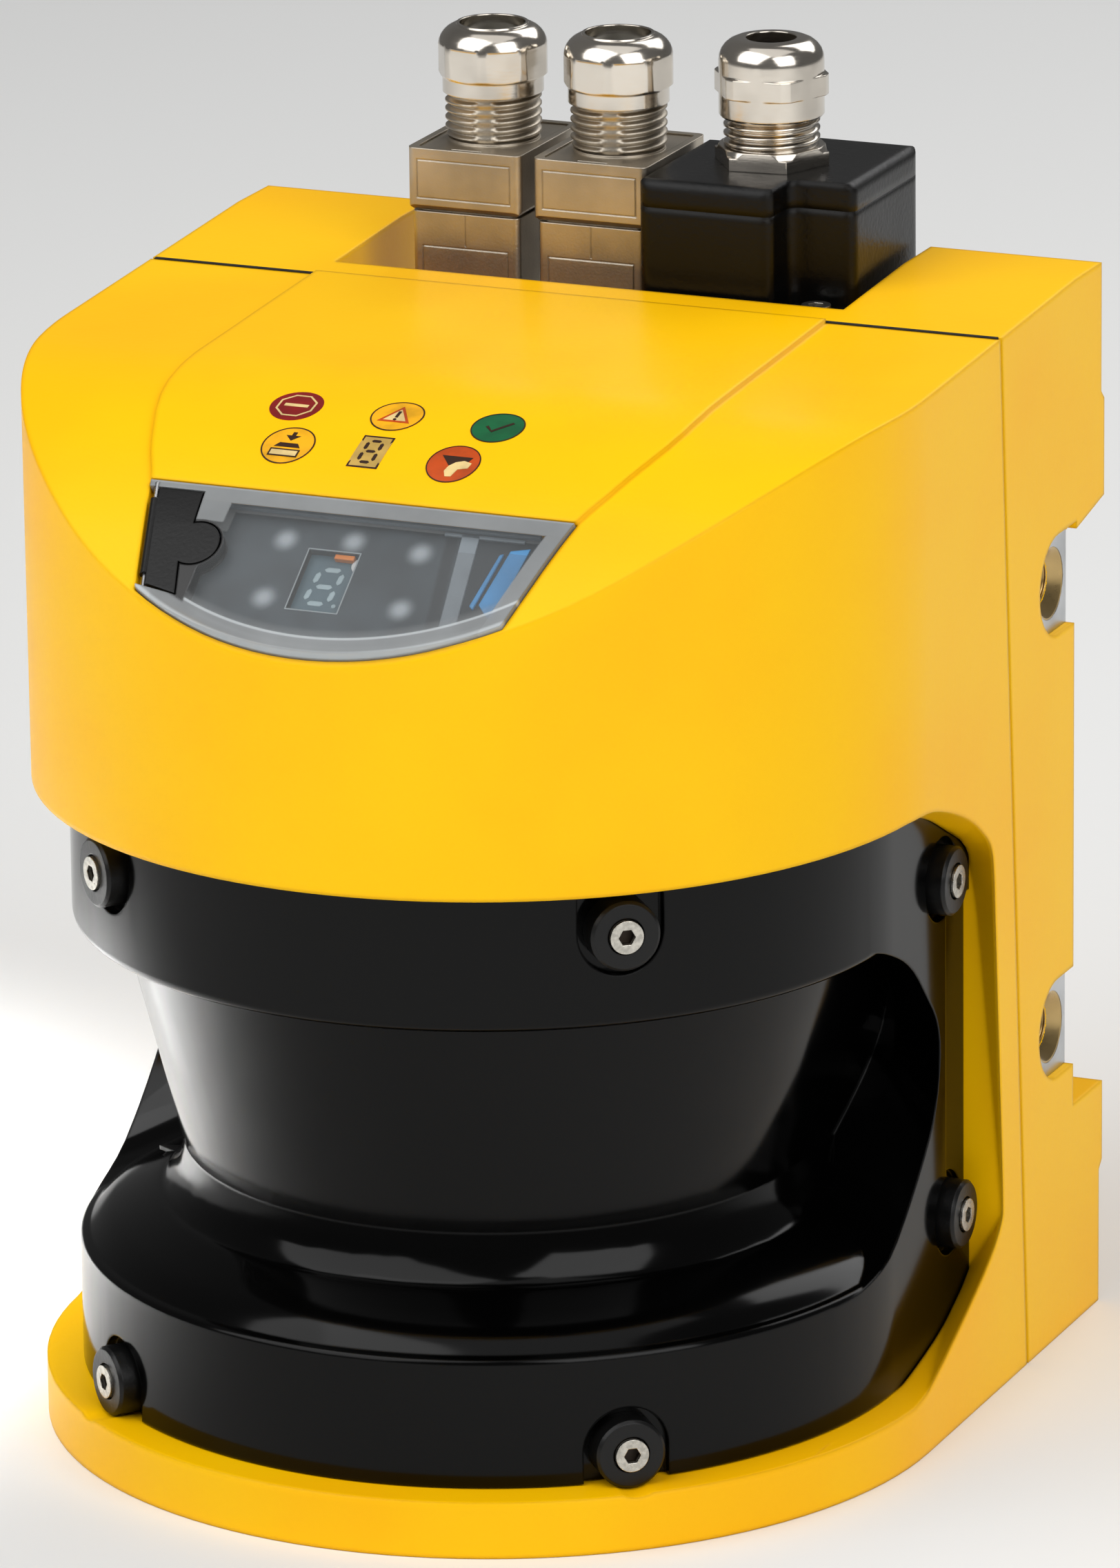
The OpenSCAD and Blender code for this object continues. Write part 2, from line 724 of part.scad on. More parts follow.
module optics_cover() {
    color(black) placed() difference() {
        drum_sweep(cover_back) translate([0, cover_low]) square([cover_r, cover_top - cover_low]);
        scan_gap(0);
        difference() {
            translate([0, 0, -1]) drum_sweep(cover_back + 1)
                square([cover_r - band_wall, body_h]);
            scan_gap(window_wall);
        }
        for (side = [-1, 1], way = [-1, 1])
            rotate([0, 0, side * screw_angle])
                translate([0, 0, way > 0 ? screw_top_z : screw_low_z])
                    rotate([90, 0, 0]) screw_notch(way);
        for (side = [-1, 1], p = side_screws)
            translate([0, p[0], p[1]]) rotate([0, side * 90, 0]) translate([0, 0, notch_floor])
                cylinder(d = notch_w, h = 10);
        at_cover_screws() translate([0, 0, neck_out - 3])
            cylinder(d = barrel_d + 2 * screw_play, h = 20);
        both_sides() translate([cover_r - flank_step, edge_from + 32, band_z])
            cube([5, 20, ring_z - band_z]);
    }
}

seal_h = 2.2;
seal_top_z = ring_z + 9.75;
seal_low_z = neck_low_z - 3;

module optics_seal() {
    out = cover_r - band_wall;
    color(dark) placed() {
        for (z = [seal_top_z, seal_low_z])
            drum_sweep(cover_back) translate([neck_out, z]) square([out - neck_out, seal_h]);
        both_sides() translate([neck_out, cover_back - 2, seal_low_z])
            cube([out - neck_out, 2, seal_top_z - seal_low_z + seal_h]);
    }
}

barrel_d = 7.6;
collar_seat = collar_face - 2.4;

module cover_collars() {
    color(black) placed() at_cover_screws() difference() {
        union() {
            translate([0, 0, neck_out]) cylinder(d = barrel_d, h = notch_floor - neck_out + eps);
            translate([0, 0, notch_floor])
                cylinder(d = collar_d, h = collar_face - notch_floor - 0.5);
            translate([0, 0, collar_face - 0.5 - eps])
                cylinder(d1 = collar_d, d2 = collar_d - 1, h = 0.5);
        }
        cylinder(d = cover_screw_d + 2 * screw_play, h = 100);
        translate([0, 0, collar_seat]) cylinder(d = cover_head_d + 0.6, h = 10);
    }
}

module cover_screws() {
    color(steel) placed() at_cover_screws() translate([0, 0, collar_seat])
        socket_screw(cover_screw_d, collar_seat - neck_in - 0.8, cover_head_d,
                     collar_face - collar_seat + 0.5, 2.5);
}

// ---- display and service access ----

tray_t = 1.4;
tray_depth = 9;
board_t = 1.6;

module display_lens() {
    color(clear) placed() difference() {
        intersection() {
            body_form(0, 0, head_z);
            on_visor() translate([0, 0, -60]) linear_extrude(90) lens_outline(lens_gap);
            translate([-drum_r, -drum_r - 5, head_z + 10]) cube([body_w, drum_r, body_h]);
        }
        body_form(lens_t, lens_t, 0);
        on_visor() translate([0, 0, -10]) linear_extrude(30)
            flap_outline(lens_gap, -flap_lens_left);
        hinge_pin(thread_fit);
    }
}

module display_tray() {
    in = lens_rim + lens_gap;
    color(dark) placed() on_visor() difference() {
        translate([0, 0, -tray_depth]) linear_extrude(tray_depth - thin_wall) lens_outline(in);
        translate([0, 0, -tray_depth - 1]) linear_extrude(20) lens_outline(in + tray_t);
    }
}

module display_board() {
    color(green) placed() on_visor() translate([0, 0, -tray_depth - board_t])
        linear_extrude(board_t) lens_outline(lens_rim + lens_gap);
}

digit_w = 8.4;
digit_h = 11.4;
digit_mid = -6.9;
digit_t = 2.6;
lamp_spots = [[-9.7, 0.3], [2.6, 0.5], [14.8, 0], [-9.2, -10.4], [14.7, -10.4]];
lamp_d = 3;

module digit_display() {
    color(dark) placed() on_visor()
        translate([-digit_w / 2, digit_mid - digit_h / 2, -tray_depth])
            cube([digit_w, digit_h, digit_t]);
}

module status_lamps() {
    color("white") placed() on_visor() for (p = lamp_spots)
        translate([p[0], p[1], -tray_depth]) cylinder(d = lamp_d, h = tray_depth - lens_t - 1.5);
}

module service_flap() {
    color(black) placed() difference() {
        union() {
            difference() {
                intersection() {
                    body_form(0, 0, head_z);
                    on_visor() translate([0, 0, -10]) linear_extrude(30) flap_outline(0, 0.5);
                }
                body_form(flap_t, flap_t, 0);
            }
            on_flap_hinge() rotate([-90, 0, 0]) cylinder(r = knuckle_r, h = flap_len);
        }
        on_flap_hinge() translate([0, -5, 0]) rotate([-90, 0, 0])
            cylinder(r = pin_r + run_fit, h = flap_len + 10);
    }
}

// The hinge pin reaches past both ends of the flap into the lens
module hinge_pin(fit) {
    reach = 3.6;
    on_flap_hinge() translate([0, -reach - fit, 0]) rotate([-90, 0, 0])
        cylinder(r = pin_r + fit, h = flap_len + 2 * (reach + fit));
}

module flap_pin() {
    color(steel) placed() hinge_pin(0);
}

socket_spot = [-26.2, -2];
service_socket_d = 7;

module service_socket() {
    color(dark) placed() on_visor() translate([socket_spot[0], socket_spot[1], -tray_depth])
        difference() {
            cylinder(d = service_socket_d, h = tray_depth - flap_t - 1.2);
            translate([0, 0, 2]) cylinder(d = service_socket_d - 2.4, h = tray_depth);
        }
}

// ---- data plugs ----

sleeve_z = sleeve_top - sleeve_h;
core_w = sleeve_w - 2 * sleeve_wall;
core_d = sleeve_d - 2 * sleeve_wall;
shell_w = sleeve_w - 1.2;
shell_d = sleeve_d - 1.2;
plug_wall = 2;
socket_w = shell_w - 2 * plug_wall - part_gap;
socket_d = shell_d - 2 * plug_wall - part_gap;
plug_low = bay_z;
socket_top = bay_z + 8;
insert_top = bay_z + 30;
cap_z = sleeve_top + neck_l;
neck_top = cap_z + cap_h * 0.55;

// Rectangle with round corners
module rounded(w, d, r) {
    square([w, d - 2 * r], center = true);
    square([w - 2 * r, d], center = true);
    for (x = [-1, 1], y = [-1, 1])
        translate([x * (w / 2 - r), y * (d / 2 - r)]) circle(r, $fn = 32);
}

// Everything but the lower edges of a block, cut at 45 degrees
module edge_cut(w, d, cut, h) {
    intersection() {
        rotate([90, 0, 0]) translate([0, 0, -d]) linear_extrude(2 * d)
            polygon([[-w / 2 + cut, 0], [w / 2 - cut, 0], [w / 2, cut], [w / 2, h],
                     [-w / 2, h], [-w / 2, cut]]);
        across(-w, w) polygon([[-d / 2 + cut, 0], [d / 2 - cut, 0], [d / 2, cut], [d / 2, h],
                               [-d / 2, h], [-d / 2, cut]]);
    }
}

module at_data_plug(i) {
    placed() translate([data_x + i * data_pitch, plug_y, 0]) children();
}

module plug_body(i) {
    color(zinc) at_data_plug(i) difference() {
        union() {
            translate([0, 0, plug_low]) linear_extrude(sleeve_z - plug_low - part_gap)
                rounded(shell_w, shell_d, 1.2);
            translate([0, 0, sleeve_z - 1]) linear_extrude(sleeve_h + 0.7)
                rounded(core_w - 2 * run_fit, core_d - 2 * run_fit, 1);
            translate([0, 0, sleeve_top - 1]) cylinder(d = neck_d, h = neck_top - sleeve_top + 1);
        }
        translate([0, 0, plug_low - 1]) linear_extrude(insert_top + 4 - plug_low)
            square([shell_w - 2 * plug_wall, shell_d - 2 * plug_wall], center = true);
        cylinder(d = cap_bore - 1.5, h = neck_top + 1);
        translate([0, 0, neck_top - 4]) cylinder(d = seal_d + 2 * thread_fit, h = 10);
    }
}

module plug_sleeve(i) {
    color(zinc) at_data_plug(i) difference() {
        intersection() {
            translate([0, 0, sleeve_z]) linear_extrude(sleeve_h) rounded(sleeve_w, sleeve_d, 1.4);
            translate([0, 0, sleeve_z]) edge_cut(sleeve_w, sleeve_d, 0.9, sleeve_h);
        }
        translate([0, 0, sleeve_z - 1]) linear_extrude(sleeve_h + 2)
            rounded(core_w, core_d, 1.05);
    }
}

module plug_insert(i) {
    color(dark) at_data_plug(i) difference() {
        translate([0, 0, socket_top]) linear_extrude(insert_top - socket_top)
            square([shell_w - 2 * plug_wall, shell_d - 2 * plug_wall] - [0.2, 0.2], center = true);
        for (y = [-2 : 2]) translate([0, y * 3.6, socket_top - 1]) cylinder(d = 1.2, h = 7);
    }
}

seal_d = neck_d - 3;

module cable_seal(top, bore) {
    difference() {
        union() {
            translate([0, 0, top - 4]) cylinder(d = seal_d, h = 4);
            translate([0, 0, top - eps]) cylinder(d = seal_d - 1, h = 1.4);
        }
        cylinder(d = bore, h = 300);
    }
}

module plug_seal(i) {
    color("gray") at_data_plug(i) cable_seal(neck_top, cap_bore - 3);
}

// Section of a cap nut, as [radius, height] from its lower edge
function cap_section(r, h, bore) = concat(
    [[0, 0], [r - 0.7, 0], [r - 0.7, h * 0.22], [r, h * 0.22 + 0.5], [r, h * 0.62]],
    arc([r - h * 0.32, h * 0.66], h * 0.32, 5, 80, 6),
    [[bore / 2 + 0.5, h], [0, h]]);

module cap_nut(r, h, bore, thread_r, flats, across_flats) {
    difference() {
        rotate_extrude() polygon(cap_section(r, h, bore));
        difference() {
            translate([0, 0, h * 0.2]) cylinder(r = r + 3, h = h * 0.5);
            translate([0, 0, h * 0.2 - 1])
                cylinder(d = across_flats / cos(180 / flats), h = h * 0.5 + 2, $fn = flats);
        }
        translate([0, 0, -1]) cylinder(r = thread_r, h = h * 0.72 + 1);
        cylinder(d = bore, h = h + 1);
    }
}

module plug_cap(i) {
    color(nickel) at_data_plug(i) translate([0, 0, cap_z]) rotate([0, 0, 12])
        cap_nut(cap_d / 2, cap_h, cap_bore, neck_d / 2 + run_fit, 8, cap_d - 0.9);
}

module left_plug_body() { plug_body(0); }
module left_plug_sleeve() { plug_sleeve(0); }
module left_plug_insert() { plug_insert(0); }
module left_plug_seal() { plug_seal(0); }
module left_plug_cap() { plug_cap(0); }
module middle_plug_body() { plug_body(1); }
module middle_plug_sleeve() { plug_sleeve(1); }
module middle_plug_insert() { plug_insert(1); }
module middle_plug_seal() { plug_seal(1); }
module middle_plug_cap() { plug_cap(1); }

// ---- power plug ----

hood_mid_x = hood_x + hood_w / 2;
gland_x = hood_x + gland_in;
hood_wall = 2.4;
hood_split = hood_top - hood_lid;
hood_round = 2.6;
step_w = 11.6;
step_d = 8.6;
step_z = body_h - 4;
power_w = hood_w - 2 * hood_wall - 6;
power_d = hood_d - 2 * hood_wall - 4;
hood_screw_spots = [[hood_w / 2 - 5.2, -hood_d / 2 + 4.4], [-hood_w / 2 + 5.2, hood_d / 2 - 4.4]];
hood_screw_d = 3;
hood_screw_grip = 3.5;
hood_post = 3.2;

module at_hood() {
    placed() translate([hood_mid_x, plug_y, 0]) children();
}

step_round = 1.6;
step_fillet = 2.4;

// The hood seen from above, where its two corners over the fixing screws are stepped back
function hood_points(w, d) = let(
    a = w / 2, b = d / 2, x = a - step_w, y = step_d - b,
    half = concat(arc([hood_round - a, hood_round - b], hood_round, 180, 270, 5),
                  arc([x - step_round, step_round - b], step_round, 270, 360, 4),
                  arc([x + step_fillet, y - step_fillet], step_fillet, 180, 90, 5),
                  arc([a - step_round, y + step_round], step_round, 270, 360, 4)))
    concat(half, [for (p = half) -p]);

// The core of the plug, which leaves a post round each fixing screw
module power_core(grow) {
    difference() {
        square([power_w + 2 * grow, power_d + 2 * grow], center = true);
        for (p = hood_screw_spots) translate(p)
            square(2 * (hood_post - grow), center = true);
    }
}

module power_plug_case() {
    color(black) at_hood() difference() {
        union() {
            translate([0, 0, plug_low]) linear_extrude(step_z - plug_low)
                rounded(hood_w, hood_d, hood_round);
            translate([0, 0, step_z - 1]) linear_extrude(hood_split - step_z + 1)
                polygon(hood_points(hood_w, hood_d));
        }
        translate([0, 0, plug_low - 1]) linear_extrude(step_z - hood_wall - plug_low + 1)
            power_core(0.5);
        translate([0, 0, step_z - hood_wall - 1]) linear_extrude(hood_split - step_z + 5)
            polygon(hood_points(hood_w - 2 * hood_wall, hood_d - 2 * hood_wall));
        for (p = hood_screw_spots) translate([p[0], p[1], 0])
            cylinder(d = hood_screw_d + 2 * screw_play, h = step_z + 1);
    }
}

module power_plug_lid() {
    color(black) at_hood() difference() {
        intersection() {
            translate([0, 0, hood_split]) linear_extrude(hood_lid)
                polygon(hood_points(hood_w, hood_d));
            translate([0, 0, hood_top]) mirror([0, 0, 1]) edge_cut(hood_w, hood_d, 1, 10);
        }
        translate([gland_x - hood_mid_x, 0, hood_split - 1])
            cylinder(d = gland_d + 2 * thread_fit, h = 10);
    }
}

module power_plug_insert() {
    color(dark) at_hood() difference() {
        translate([0, 0, socket_top])
            linear_extrude(step_z - hood_wall - 2 * part_gap - socket_top) power_core(0.3);
        for (x = [-4 : 4], y = [-1, 1])
            translate([x * 2.4, y * 4, socket_top - 1]) cylinder(d = 1.3, h = 9);
    }
}

module power_plug_screws() {
    color(steel) at_hood() for (p = hood_screw_spots) translate([p[0], p[1], step_z])
        socket_screw(hood_screw_d, step_z - bay_z + hood_screw_grip, 5, 2.4, 2.5);
}

nut_h = 3.2;
gland_cap_z = hood_top + 8.2;
gland_cap_h = 13.3;
gland_top = gland_cap_z + gland_cap_h * 0.55;

module at_gland() {
    placed() translate([gland_x, plug_y, 0]) children();
}

module gland_body() {
    color(nickel) at_gland() difference() {
        translate([0, 0, hood_split]) cylinder(d = gland_d, h = gland_top - hood_split);
        cylinder(d = gland_bore + 0.6, h = gland_top + 1);
        translate([0, 0, gland_top - 4]) cylinder(d = seal_d + 2 * thread_fit, h = 10);
    }
}

module gland_locknut() {
    color(nickel) at_gland() rotate([0, 0, 6]) translate([0, 0, hood_top]) difference() {
        intersection() {
            cylinder(d = gland_af / cos(30), h = nut_h, $fn = 6);
            union() {
                cylinder(d1 = gland_af + 3.2, d2 = gland_af + 0.6, h = nut_h);
                cylinder(d = gland_af + 3.2, h = nut_h - 1);
            }
        }
        translate([0, 0, -1]) cylinder(d = gland_d + 2 * thread_fit, h = nut_h + 2);
    }
}

module gland_seal() {
    color("gray") at_gland() cable_seal(gland_top, gland_bore - 1.4);
}

// Section of the gland cap, which is plain above and below its hexagon
module gland_cap() {
    r = gland_cap_d / 2;
    hex_low = gland_cap_h * 0.3;
    hex_high = gland_cap_h * 0.56;
    color(nickel) at_gland() rotate([0, 0, 6]) translate([0, 0, gland_cap_z]) difference() {
        union() {
            rotate_extrude() polygon(concat(
                [[0, 0], [r - 0.3, 0], [r, 0.4], [r, gland_cap_h * 0.7]],
                arc([r - gland_cap_h * 0.28, gland_cap_h * 0.72], gland_cap_h * 0.28, 0, 90, 6),
                [[0, gland_cap_h]]));
            translate([0, 0, hex_low]) intersection() {
                cylinder(d = (gland_af + 0.4) / cos(30), h = hex_high - hex_low, $fn = 6);
                cylinder(d = gland_af + 2.2, h = gland_cap_h);
            }
        }
        translate([0, 0, -1]) cylinder(d = gland_d + 2 * run_fit, h = gland_cap_h * 0.72 + 1);
        cylinder(d = gland_bore, h = gland_cap_h + 1);
    }
}

// ---- sockets in the bay ----

// Stem of a socket, through the bay floor in front of the bracket recess
module socket_stem(w, d, fit) {
    front = -d / 2 + 1.5;
    back = recess_y - rear_wall - 2 - plug_y;
    translate([-w / 2 + 1.5 - fit, front - fit, bay_z - bay_floor - 3])
        cube([w - 3 + 2 * fit, back - front + 2 * fit, bay_floor + 3 + eps]);
}

module data_sockets() {
    color(dark) for (i = [0, 1]) at_data_plug(i) {
        translate([0, 0, bay_z]) linear_extrude(socket_top - bay_z)
            square([socket_w, socket_d], center = true);
        socket_stem(socket_w, socket_d, 0);
        for (y = [-2 : 2])
            translate([0, y * 3.6, socket_top - eps]) cylinder(d = 0.9, h = 4);
    }
}

module power_socket() {
    color(dark) at_hood() {
        translate([0, 0, bay_z]) linear_extrude(socket_top - bay_z) power_core(0);
        socket_stem(power_w, power_d, 0);
        for (x = [-4 : 4], y = [-1, 1])
            translate([x * 2.4, y * 4, socket_top - eps]) cylinder(d = 1, h = 6);
    }
}

// ---- scan unit ----

plate_t = 4;
back_y = frame_y - plate_t - 0.5;
disc_r = back_y - 1;
back_w = 66;
shelf_z = 118;
motor_z = floor_t + plate_t;
shaft_top = motor_z + motor_h + 14;
bearing_d = 16;
bearing_h = 5;
magnet_d = 30;
coil_d = 40;
disc_z = motor_z + motor_h + 3;
carrier_z = disc_z + 3;
carrier_top = scan_z + carrier_r;
frame_screw_d = 4;
frame_screw_spots = [[-38, -30], [38, -30], [-38, 22], [38, 22]];
receiver_posts = [[-20, -20], [20, -20], [-20, 20], [20, 20]];
receiver_pin_d = 3;

module at_frame_screws() {
    for (p = frame_screw_spots) translate([p[0], p[1], 0]) children();
}

module optics_frame() {
    color(alloy) placed() difference() {
        union() {
            translate([-42, -38, floor_t]) cube([84, back_y + 38 + plate_t, plate_t]);
            translate([-back_w / 2, back_y, floor_t])
                cube([back_w, plate_t, shelf_z + plate_t - floor_t]);
            translate([-back_w / 2, 0, shelf_z]) cube([back_w, back_y + 1, plate_t]);
            translate([0, 0, shelf_z]) cylinder(r = back_w / 2 - 1, h = plate_t);
            translate([0, 0, receiver_z - 2])
                cylinder(d = receiver_d + 6, h = shelf_z - receiver_z + 2 + eps);
            both_sides() translate([back_w / 2 - plate_t, 8, floor_t + eps])
                cube([plate_t, back_y - 7, 26]);
            for (p = receiver_posts) translate([p[0], p[1], shelf_z + 1]) {
                cylinder(d = 6, h = laser_top - shelf_z - 1);
                cylinder(d = receiver_pin_d, h = laser_top - shelf_z + board_t);
            }
        }
        translate([0, 0, floor_t - 1]) cylinder(d = motor_d - 8, h = plate_t + 2);
        translate([0, 0, receiver_z - 3]) cylinder(d = receiver_d - 3, h = 60);
        translate([0, 0, receiver_z - 3]) cylinder(d = receiver_d, h = 3 + receiver_t);
        at_frame_screws() cylinder(d = frame_screw_d + 2 * screw_play, h = motor_z + 1);
    }
}

receiver_z = carrier_top + 4;
receiver_t = 5;

module motor_case() {
    color(dark) placed() translate([0, 0, motor_z]) difference() {
        cylinder(d = motor_d, h = motor_h);
        translate([0, 0, 2 + bearing_h]) cylinder(d = coil_d, h = motor_h - 4 - 2 * bearing_h);
        translate([0, 0, 2]) cylinder(d = bearing_d + 2 * thread_fit, h = bearing_h + eps);
        translate([0, 0, motor_h - 2 - bearing_h])
            cylinder(d = bearing_d + 2 * thread_fit, h = bearing_h + eps);
        translate([0, 0, -1]) cylinder(d = shaft_d + 4, h = motor_h + 2);
    }
}

coil_low = motor_z + 2 + bearing_h;
coil_h = motor_h - 4 - 2 * bearing_h;

module motor_coils() {
    color("peru") placed() translate([0, 0, coil_low]) difference() {
        cylinder(d = coil_d, h = coil_h);
        translate([0, 0, -1]) cylinder(d = magnet_d + 1, h = coil_h + 2);
        for (i = [0 : 5]) rotate([0, 0, i * 60]) translate([magnet_d / 2 - 1, -1, -1])
            cube([4, 2, coil_h + 2]);
    }
}

module motor_bearings() {
    color(steel) placed() for (z = [motor_z + 2, motor_z + motor_h - 2 - bearing_h])
        translate([0, 0, z]) difference() {
            cylinder(d = bearing_d, h = bearing_h);
            translate([0, 0, -1]) cylinder(d = shaft_d + 2 * run_fit, h = bearing_h + 2);
        }
}

module motor_shaft() {
    color(steel) placed() translate([0, 0, motor_z + 0.5])
        cylinder(d = shaft_d, h = shaft_top - motor_z - 0.5);
}

module rotor_magnet() {
    color(dark) placed() translate([0, 0, coil_low + 0.5]) difference() {
        cylinder(d = magnet_d, h = coil_h - 1);
        translate([0, 0, -1]) cylinder(d = shaft_d + 2 * thread_fit, h = coil_h + 2);
    }
}

module mirror_plane(shift, t) {
    translate([0, 0, scan_z]) rotate([45, 0, 0]) translate([-60, -60, shift]) cube([120, 120, t]);
}

module mirror_carrier() {
    color(alloy) placed() difference() {
        union() {
            translate([0, 0, carrier_z]) cylinder(r = carrier_r, h = carrier_top - carrier_z);
            translate([0, 0, disc_z - 2]) cylinder(d = shaft_d + 10, h = 5 + eps);
        }
        mirror_plane(-mirror_t, 120);
        translate([0, 0, disc_z - 3]) cylinder(d = shaft_d + 2 * thread_fit, h = shaft_top - disc_z + 4);
        for (x = [-1, 1]) translate([x * 15, 9, carrier_z - 1]) cylinder(d = 8, h = 14);
    }
}

module scan_mirror() {
    color("lightblue") placed() intersection() {
        cylinder(r = carrier_r - 0.5, h = 200);
        mirror_plane(-mirror_t, mirror_t);
    }
}

module code_disc() {
    teeth = 36;
    color(steel) placed() translate([0, 0, disc_z]) difference() {
        cylinder(r = disc_r, h = 1);
        translate([0, 0, -1]) cylinder(d = shaft_d + 10 + 2 * thread_fit, h = 3);
        for (i = [0 : teeth - 1]) rotate([0, 0, i * 360 / teeth])
            translate([disc_r - 3.4, -0.8, -1]) cube([2.4, 1.6, 3]);
    }
}

module disc_sensor() {
    color(dark) placed() difference() {
        translate([carrier_r + 1, -4, motor_z])
            cube([disc_r + 5 - carrier_r, 8, disc_z + 5 - motor_z]);
        translate([disc_r - 8, -5, disc_z - 1]) cube([9.5, 10, 3]);
    }
}

// The lens is flat below and curved above, with a bore for the laser module
module receiver_lens() {
    rim = receiver_d / 2 - thread_fit;
    bore = laser_d / 2 + part_gap;
    ball = 75;
    crown = ball - receiver_t;
    color(clear) placed() translate([0, 0, receiver_z]) rotate_extrude()
        polygon(concat([[bore, 0], [rim, 0]],
                       [for (i = [0 : 6]) let (r = rim + (bore - rim) * i / 6)
                           [r, sqrt(ball * ball - r * r) - crown]]));
}

laser_d = 12;
laser_top = shelf_z + plate_t + 10;

module laser_module() {
    color(dark) placed() difference() {
        union() {
            translate([0, 0, receiver_z - 2]) cylinder(d = laser_d, h = laser_top - receiver_z + 2);
            translate([0, 0, shelf_z + plate_t]) cylinder(d = receiver_d, h = 2);
        }
        translate([0, 0, receiver_z - 3]) cylinder(d = 4, h = 12);
    }
}

module receiver_board() {
    color(green) placed() translate([0, 0, laser_top]) difference() {
        translate([-28, -28, 0]) cube([56, 56, board_t]);
        for (p = receiver_posts) translate([p[0], p[1], -1])
            cylinder(d = receiver_pin_d + 2 * thread_fit, h = 4);
    }
}

module frame_screws() {
    color(steel) placed() at_frame_screws() translate([0, 0, motor_z])
        socket_screw(frame_screw_d, motor_z - 2, 7, 4, 3);
}

// ---- main board ----

board_y = recess_y - rear_wall - 5.2;
board_w = 2 * (neck_in - 9);
board_low = 20;
board_high = bay_z - 14;
board_screw_d = 3;
board_posts = [for (x = [6 - board_w / 2, board_w / 2 - 6], z = [board_low + 8, board_high - 28])
    [x, z]];

module main_board() {
    color(green) placed() difference() {
        union() {
            translate([-board_w / 2, board_y - 6 - board_t, board_low])
                cube([board_w, board_t, board_high - board_low]);
            translate([-20, board_y - 6 - board_t - 2.4, 60]) cube([26, 2.5, 26]);
            translate([16, board_y - 6 - board_t - 1.8, board_high - 52]) cube([18, 1.9, 14]);
            translate([-30, board_y - 6 - board_t - 8, board_high - 24]) cube([50, 8.1, 10]);
        }
        for (p = board_posts) translate([p[0], 0, p[1]]) rotate([-90, 0, 0])
            cylinder(d = board_screw_d + 2 * screw_play, h = 100);
    }
}

module board_spacers() {
    color(steel) placed() for (p = board_posts)
        translate([p[0], board_y - 6, p[1]]) rotate([-90, 0, 0]) difference() {
            cylinder(d = 7, h = recess_y - rear_wall - board_y + 6);
            translate([0, 0, -1]) cylinder(d = board_screw_d + 2 * screw_play, h = 30);
        }
}

module board_screws() {
    color(steel) placed() for (p = board_posts)
        translate([p[0], board_y - 6 - board_t, p[1]]) rotate([90, 0, 0])
            socket_screw(board_screw_d, 15, 5.5, 2.4, 2.5);
}

front_housing();
rear_housing();
housing_seal();
housing_screws();
optics_cover();
optics_seal();
cover_collars();
cover_screws();
display_lens();
display_tray();
display_board();
digit_display();
status_lamps();
service_flap();
flap_pin();
service_socket();
left_plug_body();
left_plug_sleeve();
left_plug_insert();
left_plug_seal();
left_plug_cap();
middle_plug_body();
middle_plug_sleeve();
middle_plug_insert();
middle_plug_seal();
middle_plug_cap();
power_plug_case();
power_plug_lid();
power_plug_insert();
power_plug_screws();
gland_body();
gland_locknut();
gland_seal();
gland_cap();
data_sockets();
power_socket();
optics_frame();
motor_case();
motor_coils();
motor_bearings();
motor_shaft();
rotor_magnet();
mirror_carrier();
scan_mirror();
code_disc();
disc_sensor();
receiver_lens();
laser_module();
receiver_board();
frame_screws();
main_board();
board_spacers();
board_screws();
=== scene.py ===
import bpy
import bmesh
import math
from mathutils import Matrix, Vector


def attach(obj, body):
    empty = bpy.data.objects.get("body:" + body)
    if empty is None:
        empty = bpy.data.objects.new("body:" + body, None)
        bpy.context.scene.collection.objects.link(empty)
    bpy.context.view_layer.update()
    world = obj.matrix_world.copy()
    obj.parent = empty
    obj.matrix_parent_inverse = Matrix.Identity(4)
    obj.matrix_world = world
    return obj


# Safety laser scanner: paint, plastics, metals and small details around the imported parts.
# Lengths are in millimetres until a mesh is made, and then in metres.

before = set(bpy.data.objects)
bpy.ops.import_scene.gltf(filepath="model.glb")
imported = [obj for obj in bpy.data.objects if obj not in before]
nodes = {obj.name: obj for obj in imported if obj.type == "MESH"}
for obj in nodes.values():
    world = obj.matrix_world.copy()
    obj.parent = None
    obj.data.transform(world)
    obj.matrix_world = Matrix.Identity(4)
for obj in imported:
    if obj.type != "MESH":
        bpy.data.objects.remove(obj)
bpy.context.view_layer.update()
mm = 0.001


class Sock:  # a socket that takes part in plain arithmetic
    def __init__(self, shader, socket):
        self.shader = shader
        self.socket = socket

    def maths(self, operation, *values):
        return self.shader.node("Math", {"operation": operation}, dict(enumerate(values)))

    def __add__(self, other):
        return self.maths("ADD", self, other)

    def __radd__(self, other):
        return self.maths("ADD", other, self)

    def __sub__(self, other):
        return self.maths("SUBTRACT", self, other)

    def __rsub__(self, other):
        return self.maths("SUBTRACT", other, self)

    def __mul__(self, other):
        return self.maths("MULTIPLY", self, other)

    def __rmul__(self, other):
        return self.maths("MULTIPLY", other, self)

    def __pow__(self, other):
        return self.maths("POWER", self, other)

    def __abs__(self):
        return self.maths("ABSOLUTE", self)

    def least(self, other):
        return self.maths("MINIMUM", self, other)

    def most(self, other):
        return self.maths("MAXIMUM", self, other)

    def ramp(self, low, high, start=0.0, end=1.0):  # smooth step from start to end
        return self.shader.node(
            "MapRange", {"interpolation_type": "SMOOTHSTEP", "clamp": True},
            {0: self, 1: low, 2: high, 3: start, 4: end})


